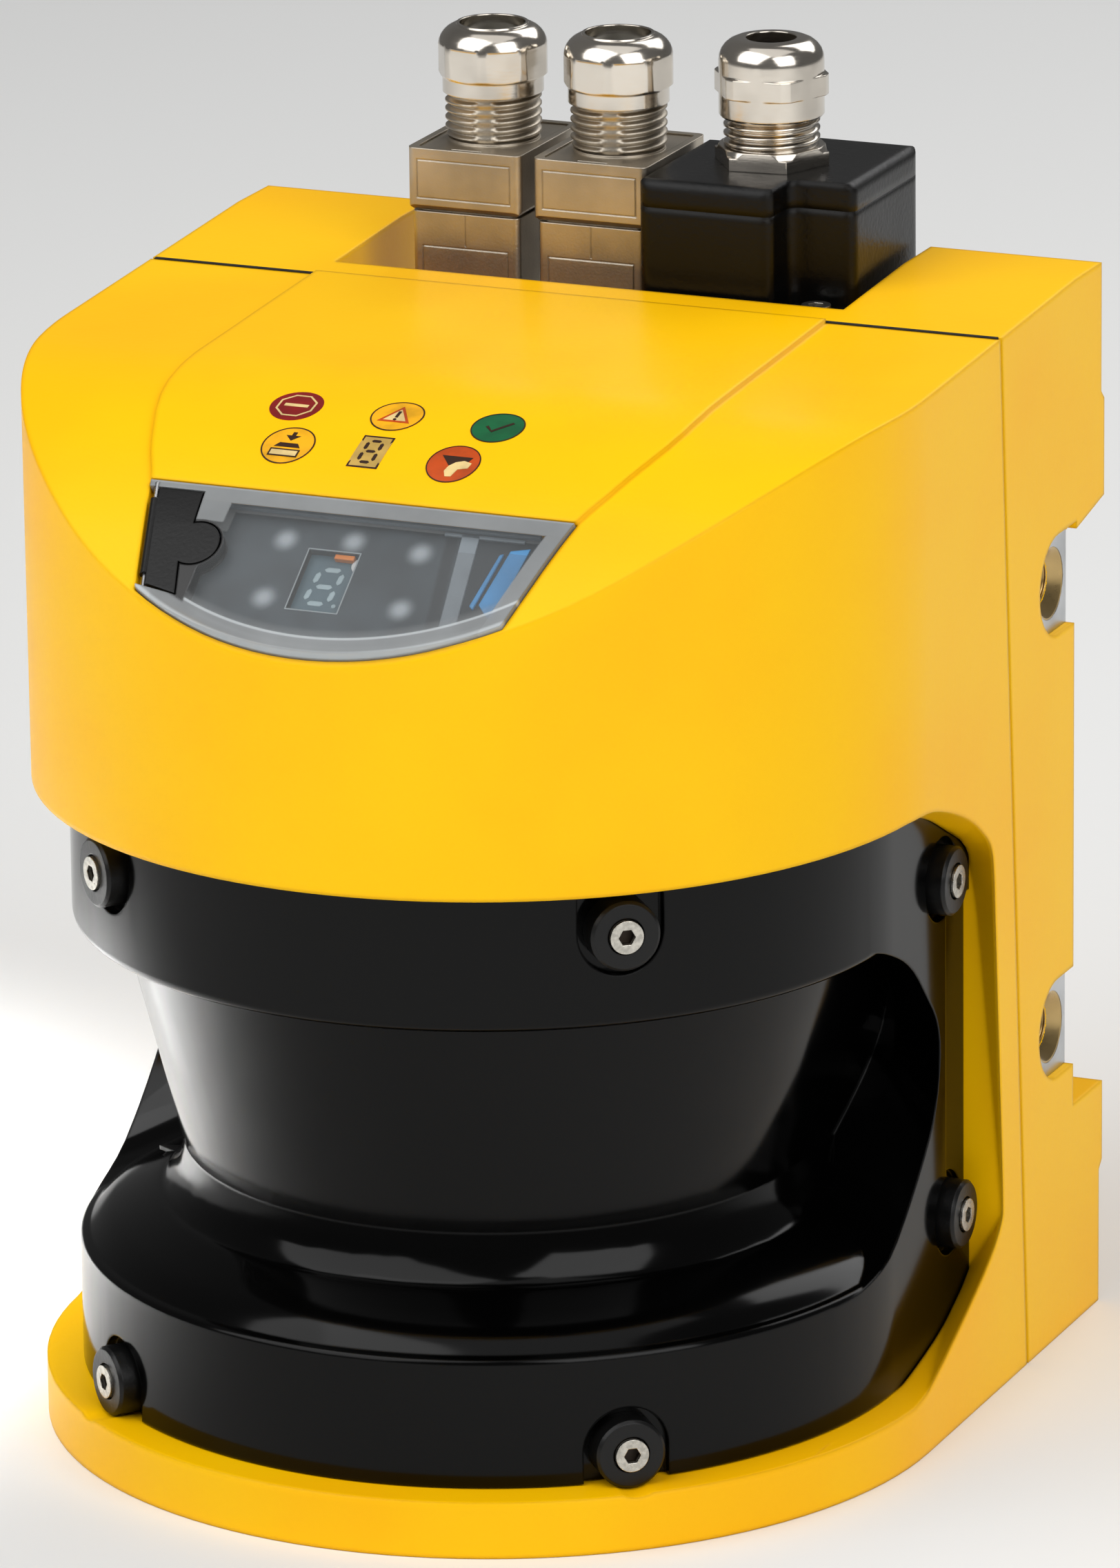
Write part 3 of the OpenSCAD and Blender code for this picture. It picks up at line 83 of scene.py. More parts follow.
class Shader:
    def __init__(self, name):
        self.material = bpy.data.materials.new(name)
        self.material.use_nodes = True
        self.tree = self.material.node_tree
        self.tree.nodes.clear()

    def node(self, kind, settings=None, inputs=None, output=0):
        made = self.tree.nodes.new("ShaderNode" + kind)
        for key, value in (settings or {}).items():
            setattr(made, key, value)
        for key, value in (inputs or {}).items():
            if isinstance(value, Sock):
                self.tree.links.new(value.socket, made.inputs[key])
            else:
                made.inputs[key].default_value = value
        return Sock(self, made.outputs[output]) if len(made.outputs) else None

    def place(self):
        return self.node("TexCoord", output="Object")

    def split(self, vector):
        return [self.node("SeparateXYZ", {}, {0: vector}, k) for k in range(3)]

    def noise(self, scale, detail=2.0, vector=None):
        return self.node("TexNoise", {}, {"Vector": vector or self.place(), "Scale": scale,
                                          "Detail": detail}, "Fac")

    def blend(self, factor, first, second):  # colours go through Mix
        return self.node("Mix", {"data_type": "RGBA"}, {0: factor, 6: first, 7: second}, 2)

    def bump(self, height, strength, distance, under=None):
        inputs = {"Strength": strength, "Distance": distance, "Height": height}
        if under:
            inputs["Normal"] = under
        return self.node("Bump", {}, inputs)

    def softEdge(self, radius):
        return self.node("Bevel", {"samples": 6}, {"Radius": radius})

    def finish(self, shader):
        self.node("OutputMaterial", {}, {"Surface": shader})
        return self.material

    def principled(self, **inputs):
        names = {key: key for key in ("Alpha", "Metallic", "Roughness", "IOR", "Normal")}
        names.update(colour="Base Color", coat="Coat Weight", coatRoughness="Coat Roughness",
                     level="Specular IOR Level", clear="Transmission Weight")
        return self.node("BsdfPrincipled", {}, {names[k]: v for k, v in inputs.items()})


def rgb(red, green, blue):  # from the 0-255 values of a colour picker
    linear = [c / 12.92 if c <= 0.04045 else ((c + 0.055) / 1.055) ** 2.4
              for c in (red / 255, green / 255, blue / 255)]
    return (*linear, 1.0)


paintLook = {"colour": (255, 197, 0), "deep": (255, 188, 0), "roughness": 0.38, "peel": 900,
             "peelStrength": 0.06, "coat": 0.06, "level": 0.14, "edge": 0.0013}


def makePaint(name, look):
    s = Shader(name)
    cloud = s.noise(22.0, 3.0)
    peel = s.noise(look["peel"], 1.0)
    fine = s.noise(3400.0, 2.0)
    colour = s.blend(cloud.ramp(0.3, 0.75), rgb(*look["colour"]), rgb(*look["deep"]))
    normal = s.bump(peel + fine * 0.15, look["peelStrength"], 0.0004, s.softEdge(look["edge"]))
    return s.finish(s.principled(
        colour=colour, Roughness=cloud * 0.06 + (look["roughness"] - 0.03), Normal=normal,
        coat=look["coat"], coatRoughness=0.16, level=look["level"]))


coverLook = {"colour": (2, 2, 2), "roughness": 0.11, "level": 0.17, "edge": 0.0006}


def makeCoverPlastic(name, look):
    s = Shader(name)
    haze = s.noise(35.0, 4.0)
    dust = s.noise(2600.0, 2.0)
    normal = s.bump(s.noise(60.0, 1.0), 0.02, 0.001, s.softEdge(look["edge"]))
    return s.finish(s.principled(
        colour=s.blend(dust.ramp(0.68, 0.8) * 0.5, rgb(*look["colour"]), rgb(9, 8, 8)),
        Roughness=haze * 0.1 + (look["roughness"] - 0.05), Normal=normal, level=look["level"]))


def makePlastic(name, colour, roughness=0.45, grain=1600.0, strength=0.12, edge=0.0003,
                level=0.4):
    s = Shader(name)
    tone = s.noise(grain / 12, 3.0)
    pits = s.noise(grain, 2.0)
    bright = tuple(min(255, c * 1.25 + 4) for c in colour)
    return s.finish(s.principled(
        colour=s.blend(tone, rgb(*colour), rgb(*bright)),
        Roughness=tone * 0.12 + (roughness - 0.06),
        Normal=s.bump(pits, strength, 0.0003, s.softEdge(edge)), level=level))


def makeMetal(name, colour, roughness=0.25, stretch=(1.0, 1.0, 1.0), grain=900.0,
              strength=0.05, edge=0.00025, variation=0.85):
    s = Shader(name)
    lines = s.noise(grain, 3.0, s.node("Mapping", {}, {"Vector": s.place(), "Scale": stretch}))
    cloud = s.noise(70.0, 3.0)
    dark = tuple(c * variation for c in colour)
    return s.finish(s.principled(
        colour=s.blend(cloud.ramp(0.3, 0.7), rgb(*colour), rgb(*dark)), Metallic=1.0,
        Roughness=lines * 0.14 + cloud * 0.08 + (roughness - 0.11),
        Normal=s.bump(lines, strength, 0.0002, s.softEdge(edge))))


def makeRubber(name, colour):
    s = Shader(name)
    tone = s.noise(300.0, 3.0)
    return s.finish(s.principled(
        colour=s.blend(tone, rgb(*colour), rgb(*[c * 0.8 for c in colour])),
        Roughness=tone * 0.2 + 0.6, Normal=s.bump(s.noise(2200.0), 0.2, 0.0003), level=0.3))


def makeClear(name, colour, roughness=0.04):
    s = Shader(name)
    smear = s.noise(45.0, 3.0)
    return s.finish(s.principled(colour=rgb(*colour), Roughness=smear * 0.05 + roughness,
                                 clear=1.0, IOR=1.45, Normal=s.softEdge(0.0002)))


paint = makePaint("yellowCasting", paintLook)
coverPlastic = makeCoverPlastic("glossBlackCover", coverLook)
blackPlastic = makePlastic("blackPlastic", (7, 7, 7), 0.34, 1500.0, 0.1, level=0.3)
hoodPlastic = makePlastic("blackPlugPlastic", (3, 3, 3), 0.26, 1100.0, 0.16, 0.002, 0.22)
darkPlastic = makePlastic("darkPlastic", (34, 36, 38), 0.5)
boardGreen = makePlastic("circuitBoard", (18, 84, 44), 0.35, 700.0, 0.1)
lampPlastic = makePlastic("lampPlastic", (214, 218, 220), 0.3, 900.0, 0.04)
sealRubber = makeRubber("sealRubber", (26, 26, 27))
greyRubber = makeRubber("greySealRubber", (176, 178, 176))


# the cover screws, whose hexagon sockets are painted with shade and a warm painted reflection,
# duller than the steel
screwLook = {"colour": (206, 202, 192), "socket": (46, 36, 26), "axisY": -0.0025,
             "floorR": 0.0736, "faceR": 0.0742}


def makeScrewSteel(name, look):
    s = Shader(name)
    x, y, _ = s.split(s.place())
    # painted shade in the sockets: points nearer the drum axis than the screw faces take the dark
    # warm socket colour
    reach = (x ** 2 + (y - look["axisY"]) ** 2) ** 0.5
    low = reach.ramp(look["floorR"], look["faceR"], 1.0, 0.0)
    grain = s.noise(1200.0, 3.0)
    dark = [c * 0.85 for c in look["colour"]]
    colour = s.blend(grain.ramp(0.3, 0.7), rgb(*look["colour"]), rgb(*dark))
    return s.finish(s.principled(
        colour=s.blend(low, colour, rgb(*look["socket"])), Metallic=1.0 - low * 0.5,
        Roughness=grain * 0.14 + (low * 0.3 + 0.2),
        Normal=s.bump(grain, 0.06, 0.0002, s.softEdge(0.0002))))


nickel = makeMetal("nickelPlate", (222, 214, 202), 0.16, (1, 1, 6), 500.0, 0.03, 0.00035)
castMetal = makeMetal("satinCasting", (198, 188, 172), 0.4, (1, 1, 1), 2400.0, 0.16, 0.0003)
screwSteel = makeMetal("screwSteel", (200, 196, 186), 0.3, (1, 1, 1), 1200.0, 0.06, 0.0002)
coverScrewSteel = makeScrewSteel("coverScrewSteel", screwLook)
bareSteel = makeMetal("groundSteel", (190, 190, 192), 0.28, (8, 8, 1), 400.0, 0.05)
bareAlloy = makeMetal("machinedAlloy", (206, 208, 210), 0.34, (1, 1, 1), 800.0, 0.06)
copper = makeMetal("copperWire", (196, 110, 62), 0.35, (1, 1, 30), 300.0, 0.1)
brassThread = makeMetal("threadInsert", (206, 176, 120), 0.3, (1, 1, 1), 900.0, 0.05)
mirrorFace = makeMetal("mirrorFace", (236, 240, 242), 0.12, (1, 1, 1), 100.0, 0.0)
lensGlass = makeClear("lensGlass", (222, 232, 232))
print("finishes made")

# outline of the head from the side: a falling roof, a round brow and the sloping display face
head = {"drumY": -2.5, "seamY": 33.0, "height": 185.0, "browY": 13.0, "browR": 88.0,
        "fall": 2.9, "slope": 37.0}
fall, slope = math.radians(head["fall"]), math.radians(head["slope"])
browZ = head["height"] - (head["seamY"] + head["browY"]) * math.tan(fall)
browCy = head["browR"] * math.sin(fall) - head["browY"]
browCz = browZ - head["browR"] * math.cos(fall)
visorY = browCy - head["browR"] * math.sin(slope)
visorZ = browCz + head["browR"] * math.cos(slope)


def roofHeight(y):  # height of the roof, brow and display face at depth y
    if y > -head["browY"]:
        return browZ + (y + head["browY"]) * math.tan(fall)
    if y < visorY:
        return visorZ + (y - visorY) * math.tan(slope)
    return browCz + math.sqrt(head["browR"] ** 2 - (y - browCy) ** 2)


def toRow(point):  # from millimetres about the drum axis to the part's own frame
    return Vector((point[0] * mm, (point[1] + head["drumY"]) * mm, point[2] * mm))


visorX = Vector((1, 0, 0))
visorUp = Vector((0, math.cos(slope), math.sin(slope)))
visorOut = Vector((0, -math.sin(slope), math.cos(slope)))
visorAt = Vector((0, visorY, visorZ))


def onVisor(u, v, h):  # a point over the display face: across, up the slope, out
    return toRow(visorAt + visorX * u + visorUp * v + visorOut * h)


def onRoof(x, y, h):  # a point over the roof, h out from it
    m = (roofHeight(y + 0.01) - roofHeight(y - 0.01)) / 0.02
    out = Vector((0, -m, 1)).normalized()
    return toRow(Vector((x, y, roofHeight(y))) + out * h)


def newPiece(name, points, faces, body="housing", material=None, slotName=None, smooth=True):
    mesh = bpy.data.meshes.new(name)
    mesh.from_pydata([tuple(p) for p in points], [], faces)
    mesh.validate()
    build = bmesh.new()
    build.from_mesh(mesh)
    bmesh.ops.remove_doubles(build, verts=build.verts, dist=1e-7)
    bmesh.ops.recalc_face_normals(build, faces=build.faces)
    build.to_mesh(mesh)
    build.free()
    for p in mesh.polygons:
        p.use_smooth = smooth
    made = bpy.data.objects.new(name, mesh)
    bpy.context.scene.collection.objects.link(made)
    if material:
        mesh.materials.append(material)
    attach(made, body)
    return made


def loops(rings):  # a solid through rings of equal length, closed at both ends
    n = len(rings[0])
    points = [p for ring in rings for p in ring]
    faces = []
    for i in range(len(rings) - 1):
        for k in range(n):
            a, b = i * n + k, i * n + (k + 1) % n
            faces.append((a, b, b + n, a + n))
    faces.append(tuple(range(n))[::-1])
    faces.append(tuple((len(rings) - 1) * n + k for k in range(n)))
    return points, faces


def ringRound(sections):  # a section carried round a closed path
    n, count = len(sections[0]), len(sections)
    points = [p for section in sections for p in section]
    faces = []
    for i in range(count):
        after = (i + 1) % count
        for k in range(n):
            side = (k + 1) % n
            faces.append((i * n + k, i * n + side, after * n + side, after * n + k))
    return points, faces


def slab(place, outline, low, high):  # a flat outline between two heights of place(u, v, h)
    return loops([[place(u, v, h) for u, v in outline] for h in (low, high)])


def plate(outline, place, top, bottom, cell):
    # a closed plate with the given outline, its top and bottom laid by place(u, v, h)
    build = bmesh.new()
    ring = [build.verts.new((u, v, 0)) for u, v in outline]
    build.faces.new(ring)
    bmesh.ops.triangulate(build, faces=build.faces)
    for _ in range(6):
        long = [e for e in build.edges if e.calc_length() > cell]
        if not long:
            break
        bmesh.ops.subdivide_edges(build, edges=long, cuts=1, use_grid_fill=False)
        bmesh.ops.triangulate(build, faces=build.faces)
    lower = bmesh.ops.duplicate(build, geom=build.verts[:] + build.edges[:] + build.faces[:])
    down = [g for g in lower["geom"] if isinstance(g, bmesh.types.BMVert)]
    edges = [e for e in build.edges if e.is_boundary]
    for vert in down:
        vert.co.z = 1
    bmesh.ops.bridge_loops(build, edges=edges)
    bmesh.ops.recalc_face_normals(build, faces=build.faces)
    build.verts.index_update()
    points = [place(v.co.x, v.co.y, bottom if v.co.z > 0.5 else top) for v in build.verts]
    faces = [tuple(v.index for v in f.verts) for f in build.faces]
    build.free()
    return points, faces


def circle(u, v, r, n, start=0.0):
    angles = [start + 2 * math.pi * k / n for k in range(n)]
    return [(u + r * math.cos(t), v + r * math.sin(t)) for t in angles]


def bar(u0, v0, u1, v1):
    return [(u0, v0), (u1, v0), (u1, v1), (u0, v1)]


def stroke(points, width):  # outline of an open line with a width
    left, right = [], []
    for i, (u, v) in enumerate(points):
        before = points[max(i - 1, 0)]
        after = points[min(i + 1, len(points) - 1)]
        du, dv = after[0] - before[0], after[1] - before[1]
        size = math.hypot(du, dv)
        du, dv = du / size * width / 2, dv / size * width / 2
        left.append((u - dv, v + du))
        right.append((u + dv, v - du))
    return right + left[::-1]


def gather(parts):  # several point and face lists as one
    points, faces = [], []
    for p, f in parts:
        base = len(points)
        points += p
        faces += [tuple(i + base for i in face) for face in f]
    return points, faces


def hoop(outer, inner, place, top, bottom):  # a closed frame between two outlines of equal length
    sections = []
    for (uo, vo), (ui, vi) in zip(outer, inner):
        sections.append([place(uo, vo, top), place(ui, vi, top), place(ui, vi, bottom),
                         place(uo, vo, bottom)])
    return ringRound(sections)


def onFlat(x, y, h):
    return toRow((x, y, h))


def block(x, y, z):  # a box from low to high on each axis
    return slab(onFlat, bar(x[0], y[0], x[1], y[1]), *z)


def turned(section, at, steps=96):  # a section [(radius, height)] turned about a vertical axis
    return ringRound([[toRow((at[0] + r * math.cos(2 * math.pi * k / steps),
                              at[1] + r * math.sin(2 * math.pi * k / steps), z))
                       for r, z in section] for k in range(steps)])


smoothAngle = 24.4  # edges sharper than this stay sharp


def softShade():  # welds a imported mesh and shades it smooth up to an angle
    group = bpy.data.node_groups.new("softShade", "GeometryNodeTree")
    group.interface.new_socket("Geometry", in_out="INPUT", socket_type="NodeSocketGeometry")
    group.interface.new_socket("Geometry", in_out="OUTPUT", socket_type="NodeSocketGeometry")
    make = group.nodes.new
    start, end = make("NodeGroupInput"), make("NodeGroupOutput")
    weld = make("GeometryNodeMergeByDistance")
    weld.inputs["Distance"].default_value = 1e-6
    angle = make("GeometryNodeInputMeshEdgeAngle")
    compare = make("FunctionNodeCompare")
    compare.data_type, compare.operation = "FLOAT", "LESS_THAN"
    compare.inputs[1].default_value = math.radians(smoothAngle)
    faces = make("GeometryNodeSetShadeSmooth")
    faces.domain = "FACE"
    edges = make("GeometryNodeSetShadeSmooth")
    edges.domain = "EDGE"
    link = group.links.new
    link(start.outputs[0], weld.inputs[0])
    link(weld.outputs[0], faces.inputs[0])
    link(faces.outputs[0], edges.inputs[0])
    link(angle.outputs["Unsigned Angle"], compare.inputs[0])
    link(compare.outputs[0], edges.inputs["Shade Smooth"])
    link(edges.outputs[0], end.inputs[0])
    return group


shadeGroup = softShade()


def finishNode(name, material, cutters=()):
    part = nodes[name]
    part.data.materials.clear()
    part.data.materials.append(material)
    for cutter in cutters:
        cut = part.modifiers.new("cut " + cutter.name, "BOOLEAN")
        cut.operation, cut.object, cut.solver = "DIFFERENCE", cutter, "EXACT"
    shade = part.modifiers.new("soft shade", "NODES")
    shade.node_group = shadeGroup
    weight = part.modifiers.new("even normals", "WEIGHTED_NORMAL")
    weight.keep_sharp = True


def cutterFrom(name, shape, body="housing"):  # a hidden solid that a Boolean takes away
    made = newPiece(name, *shape, body=body, smooth=False)
    made.hide_render = True
    made.hide_viewport = True
    made.display_type = "WIRE"
    return made


finishes = {
    paint: ["front_housing", "rear_housing"],
    coverPlastic: ["optics_cover"],
    sealRubber: ["housing_seal", "optics_seal", "gland_seal"],
    blackPlastic: ["cover_collars", "service_flap", "data_sockets", "power_socket",
                   "service_socket"],
    hoodPlastic: ["power_plug_case", "power_plug_lid"],
    darkPlastic: ["display_tray", "digit_display", "left_plug_insert", "middle_plug_insert",
                  "power_plug_insert", "disc_sensor", "rotor_magnet"],
    boardGreen: ["display_board", "main_board", "receiver_board"],
    lampPlastic: ["status_lamps"],
    nickel: ["left_plug_cap", "middle_plug_cap", "gland_cap", "gland_locknut"],
    coverScrewSteel: ["cover_screws"],
    screwSteel: ["housing_screws", "frame_screws", "board_screws", "power_plug_screws"],
    bareSteel: ["motor_shaft", "motor_bearings", "code_disc", "flap_pin", "board_spacers"],
    bareAlloy: ["optics_frame", "motor_case", "mirror_carrier", "laser_module"],
    greyRubber: ["left_plug_seal", "middle_plug_seal"],
    copper: ["motor_coils"],
    mirrorFace: ["scan_mirror"],
    lensGlass: ["receiver_lens"],
}
for material, names in finishes.items():
    for name in names:
        finishNode(name, material)
print("packed parts finished")


# symbols beside the display, as thin enamel on the roof
symbolLook = {"lift": 0.05, "sunk": 0.12, "cell": 1.0,
              "red": (136, 18, 16), "amber": (248, 178, 10), "green": (14, 98, 56),
              "ink": (52, 26, 10), "pale": (236, 206, 140), "tan": (206, 168, 84),
              "orange": (196, 74, 10)}
symbolSpots = {"stop": (-20.8, -31.3), "warning": (-2.7, -31.4), "clear": (15.3, -31.8),
               "reset": (-17.5, -42.0), "digit": (-3.0, -41.6), "wipe": (12.0, -42.4)}


def makeEnamel(name, colour):
    s = Shader(name)
    tone = s.noise(240.0, 3.0)
    return s.finish(s.principled(
        colour=s.blend(tone.ramp(0.35, 0.7), rgb(*colour), rgb(*[c * 0.86 for c in colour])),
        Roughness=tone * 0.1 + 0.28, Normal=s.bump(s.noise(900.0, 1.0), 0.05, 0.0004)))


def symbolShape(spot, form, level):  # a plate, or a frame where the form has an inner outline
    x, y = symbolSpots[spot]
    lift, sunk = symbolLook["lift"] * level, -symbolLook["sunk"]
    outlines = [[(x + u, y + v) for u, v in outline] for outline in form]
    if len(outlines) == 2:
        return hoop(*outlines, onRoof, lift, sunk)
    return plate(outlines[0], onRoof, lift, sunk, symbolLook["cell"])


def sevenSegments(w, h, t, lean=0.0):  # the seven bars of a digit about its middle
    tip, shoulder, half = t * 0.6, t * 1.1, t / 2
    bars = []
    for v in (-h / 2, 0, h / 2):
        left, right = -w / 2, w / 2
        bars.append([(left + tip, v), (left + shoulder, v + half), (right - shoulder, v + half),
                     (right - tip, v), (right - shoulder, v - half), (left + shoulder, v - half)])
    for u in (-w / 2, w / 2):
        for low, high in ((-h / 2, 0), (0, h / 2)):
            bars.append([(u, low + tip), (u + half, low + shoulder), (u + half, high - shoulder),
                         (u, high - tip), (u - half, high - shoulder), (u - half, low + shoulder)])
    return [[(u + lean * v, v) for u, v in shape] for shape in bars]


# outlines of the symbols about their spots; a second outline makes a frame
apexUp = math.pi / 2
symbolForms = {
    "disc": [circle(0, 0, 4.5, 56)],
    "rim": [circle(0, 0, 4.5, 56), circle(0, 0, 4.26, 56)],
    "thinRim": [circle(0, 0, 4.5, 56), circle(0, 0, 4.3, 56)],
    "octagon": [circle(0, 0, 3.5, 8, math.pi / 8), circle(0, 0, 3.15, 8, math.pi / 8)],
    "dash": [bar(-2.1, -0.4, 2.1, 0.4)],
    "triangle": [circle(0, -0.3, 3.3, 3, apexUp), circle(0, -0.3, 2.35, 3, apexUp)],
    "triangleField": [circle(0, -0.3, 2.35, 3, apexUp)],
    "mark": [stroke([(0, 1.3), (0, -0.6)], 0.5)],
    "dot": [circle(0, -1.2, 0.3, 12)],
    "tick": [stroke([(-1.9, 0.0), (-0.6, -1.4), (2.2, 1.6)], 0.55)],
    "arrow": [[(-0.35, 3.2), (0.35, 3.2), (0.35, 2.3), (1.3, 2.3), (0, 1.0), (-1.3, 2.3),
               (-0.35, 2.3)]],
    "cap": [[(-2.3, -0.6), (2.3, -0.6), (1.6, 0.4), (-1.6, 0.4)]],
    "key": [bar(-2.6, -2.8, 2.6, -1.1)],
    "keyRim": [bar(-2.6, -2.8, 2.6, -1.1), bar(-2.35, -2.55, 2.35, -1.35)],
    "box": [bar(-2.7, -3.9, 2.7, 3.9)],
    "boxRim": [bar(-2.7, -3.9, 2.7, 3.9), bar(-2.4, -3.6, 2.4, 3.6)],
    "wedge": [[(-2.6, 1.7), (2.8, 1.7), (2.0, -0.4), (-0.6, -0.6)]],
    "cloth": [[(-0.2, -3.2), (0.8, -3.1), (1.3, -1.4), (2.9, -0.9), (3.1, 0.3), (1.7, 0.7),
               (0.4, 0.2), (-0.5, -0.8), (-0.8, -2.0)]],
}
# what each enamel draws: spot, form and the number of lifts it stands over the roof
symbolLayers = {
    "red": [("stop", "disc", 1)],
    "amber": [("warning", "disc", 1), ("reset", "disc", 1)],
    "green": [("clear", "disc", 1)],
    "tan": [("digit", "box", 1)],
    "orange": [("wipe", "disc", 1), ("warning", "triangle", 2)],
    "pale": [("stop", "octagon", 2), ("stop", "dash", 2), ("wipe", "cloth", 3),
             ("warning", "triangleField", 1.6), ("reset", "key", 2)],
    "ink": [("warning", "rim", 2), ("reset", "rim", 2), ("clear", "thinRim", 2),
            ("wipe", "thinRim", 2), ("digit", "boxRim", 2), ("warning", "mark", 3),
            ("warning", "dot", 3), ("clear", "tick", 2), ("reset", "arrow", 2),
            ("reset", "cap", 2), ("reset", "keyRim", 3), ("wipe", "wedge", 2)],
}
for k, segment in enumerate(sevenSegments(2.5, 5.2, 0.62)):
    symbolForms["segment%d" % k] = [segment]
    symbolLayers["ink"].append(("digit", "segment%d" % k, 2))


def makeSymbols():
    for ink, layer in symbolLayers.items():
        shapes = [symbolShape(spot, symbolForms[form], level) for spot, form, level in layer]
        newPiece("symbols_" + ink, *gather(shapes),
                 material=makeEnamel(ink + "Enamel", symbolLook[ink]),
                 slotName="clear_plastic", smooth=False)


makeSymbols()
print("symbols made")

# what stands under the clear lens: baffle plate, light spots, digit well, ribs, side window
displayLook = {
    "slate": (64, 73, 80), "dark": (18, 20, 24), "spot": (176, 184, 190), "spotR": 3.4,
    "spots": [(-11.3, 3.5), (0.4, 4.4), (12.4, 3.5), (-11.1, -8.4), (12.8, -7.9)],
    "plateTop": -3.0, "plateLow": -4.0, "inset": 3.2, "topV": 8.2, "arcInset": 4.6,
    "lean": 0.13, "slotStart": (16.2, 17.2), "slotEnd": (18.4, 19.2), "window": (22.0, 22.8),
    "topShade": (6.5, 8.1),
    "well": (-6.6, -10.0, 2.3, 2.1), "wall": 0.6, "wallLow": -4.6, "rim": 0.22,
    "rimColour": (148, 156, 160), "field": (66, 88, 98), "fieldOver": 0.3, "faceH": -4.4,
    "digitAt": (-2.3, -4.1), "digitSize": (4.1, 6.9, 0.95, 0.12), "segment": (150, 168, 174),
    "pointAt": (2.9, -3.6), "pointR": 0.4, "tab": (-2.1, 1.1, 1.3, 2.0), "tabH": 0.9,
    "tabColour": (226, 118, 18), "ribLow": -3.2, "ribH": -2.62, "topRibH": -2.2,
    "ribs": [[(18.4, 8.0), (21.4, 8.0), (23.6, -12.6), (20.8, -12.6)], bar(15.4, 7.4, 29.4, 8.0)],
    "topRib": bar(-31.0, 8.35, 32.0, 8.95), "ribColour": (112, 120, 126),
    "stripH": -2.66, "blue": (58, 132, 186),
    "strips": [[(27.6, 5.6), (30.8, 6.4), (29.0, -9.0), (25.8, -5.6)],
               [(26.0, 4.6), (26.6, 4.9), (25.0, -6.6), (24.3, -6.0)]]}
# outline of the clear lens on the display face: a leaning side, and an arc at its foot
lensForm = {"halfTop": 37.7, "top": 11.3, "angle": math.radians(13.4), "arcV": 37.4,
            "arcR": 58.4}


def lensSide(v):  # half width of the lens at height v of the display face
    return lensForm["halfTop"] - (lensForm["top"] - v) * math.tan(lensForm["angle"])


def displayOutline(look, steps=40):  # outline of the baffle plate, a little inside the lens
    radius, centre, top = lensForm["arcR"] - look["arcInset"], lensForm["arcV"], look["topV"]
    side = look["inset"] / math.cos(lensForm["angle"])
    low = top
    while (lensSide(low) - side) ** 2 + (low - centre) ** 2 < radius ** 2:
        low -= 0.05
    spread = math.asin((lensSide(low) - side) / radius)
    angles = [spread * (2 * k / steps - 1) for k in range(steps + 1)]
    arc = [(radius * math.sin(t), centre - radius * math.cos(t)) for t in angles]
    return [(lensSide(top) - side, top), (-lensSide(top) + side, top)] + arc


def visorPlace(s):  # the two coordinates of the display face, in millimetres
    x, y, z = s.split(s.place())
    y, z = y - (visorY + head["drumY"]) * mm, z - visorZ * mm
    return x * (1 / mm), (y * math.cos(slope) + z * math.sin(slope)) * (1 / mm)


def makeSlate(look):
    s = Shader("displaySlate")
    u, v = visorPlace(s)
    glow = 0.0
    for a, b in look["spots"]:
        reach = ((u - a) ** 2 + (v - b) ** 2) ** 0.5
        glow = reach.ramp(0.3, look["spotR"], 1.0, 0.0) ** 1.6 + glow
    lean = u + v * look["lean"]
    slot = lean.ramp(*look["slotStart"]) * lean.ramp(*look["slotEnd"], 1.0, 0.0)
    window = lean.ramp(*look["window"])
    edge = v.ramp(*look["topShade"], 0.0, 0.6)
    cloud = s.noise(120.0, 3.0)
    deep = [c * 0.82 for c in look["slate"]]
    base = s.blend(cloud.ramp(0.3, 0.7), rgb(*look["slate"]), rgb(*deep))
    base = s.blend((slot * 0.8).most(window * 0.6).most(edge), base, rgb(*look["dark"]))
    return s.finish(s.principled(colour=s.blend(glow.least(1.0), base, rgb(*look["spot"])),
                                 Roughness=cloud * 0.1 + 0.45, level=0.3))


# rims, hinge bracket, thumb recess and painted highlights along the lens edges, as ramps in
# millimetres
lensLook = {"milk": (138, 141, 142), "line": (206, 212, 214), "recess": (12, 11, 11),
            "sideRim": (3.0, 3.5), "topRim": (3.4, 3.9), "footRim": (3.5, 4.0),
            "footFade": (4.0, 6.6), "thumb": (-25.0, -1.2), "thumbR": (4.7, 5.0),
            "bracketU": (-21.9, -21.3), "bracketV": (3.2, 3.8), "cornerU": (-23.2, -22.6),
            "cornerV": (-5.2, -4.0), "cornerFoot": (2.6, 3.4), "footHighlightIn": (3.2, 3.6),
            "footHighlightOut": (3.7, 4.1), "edgeHighlight": (0.7, 1.3), "topHighlight": (0.3, 0.8)}


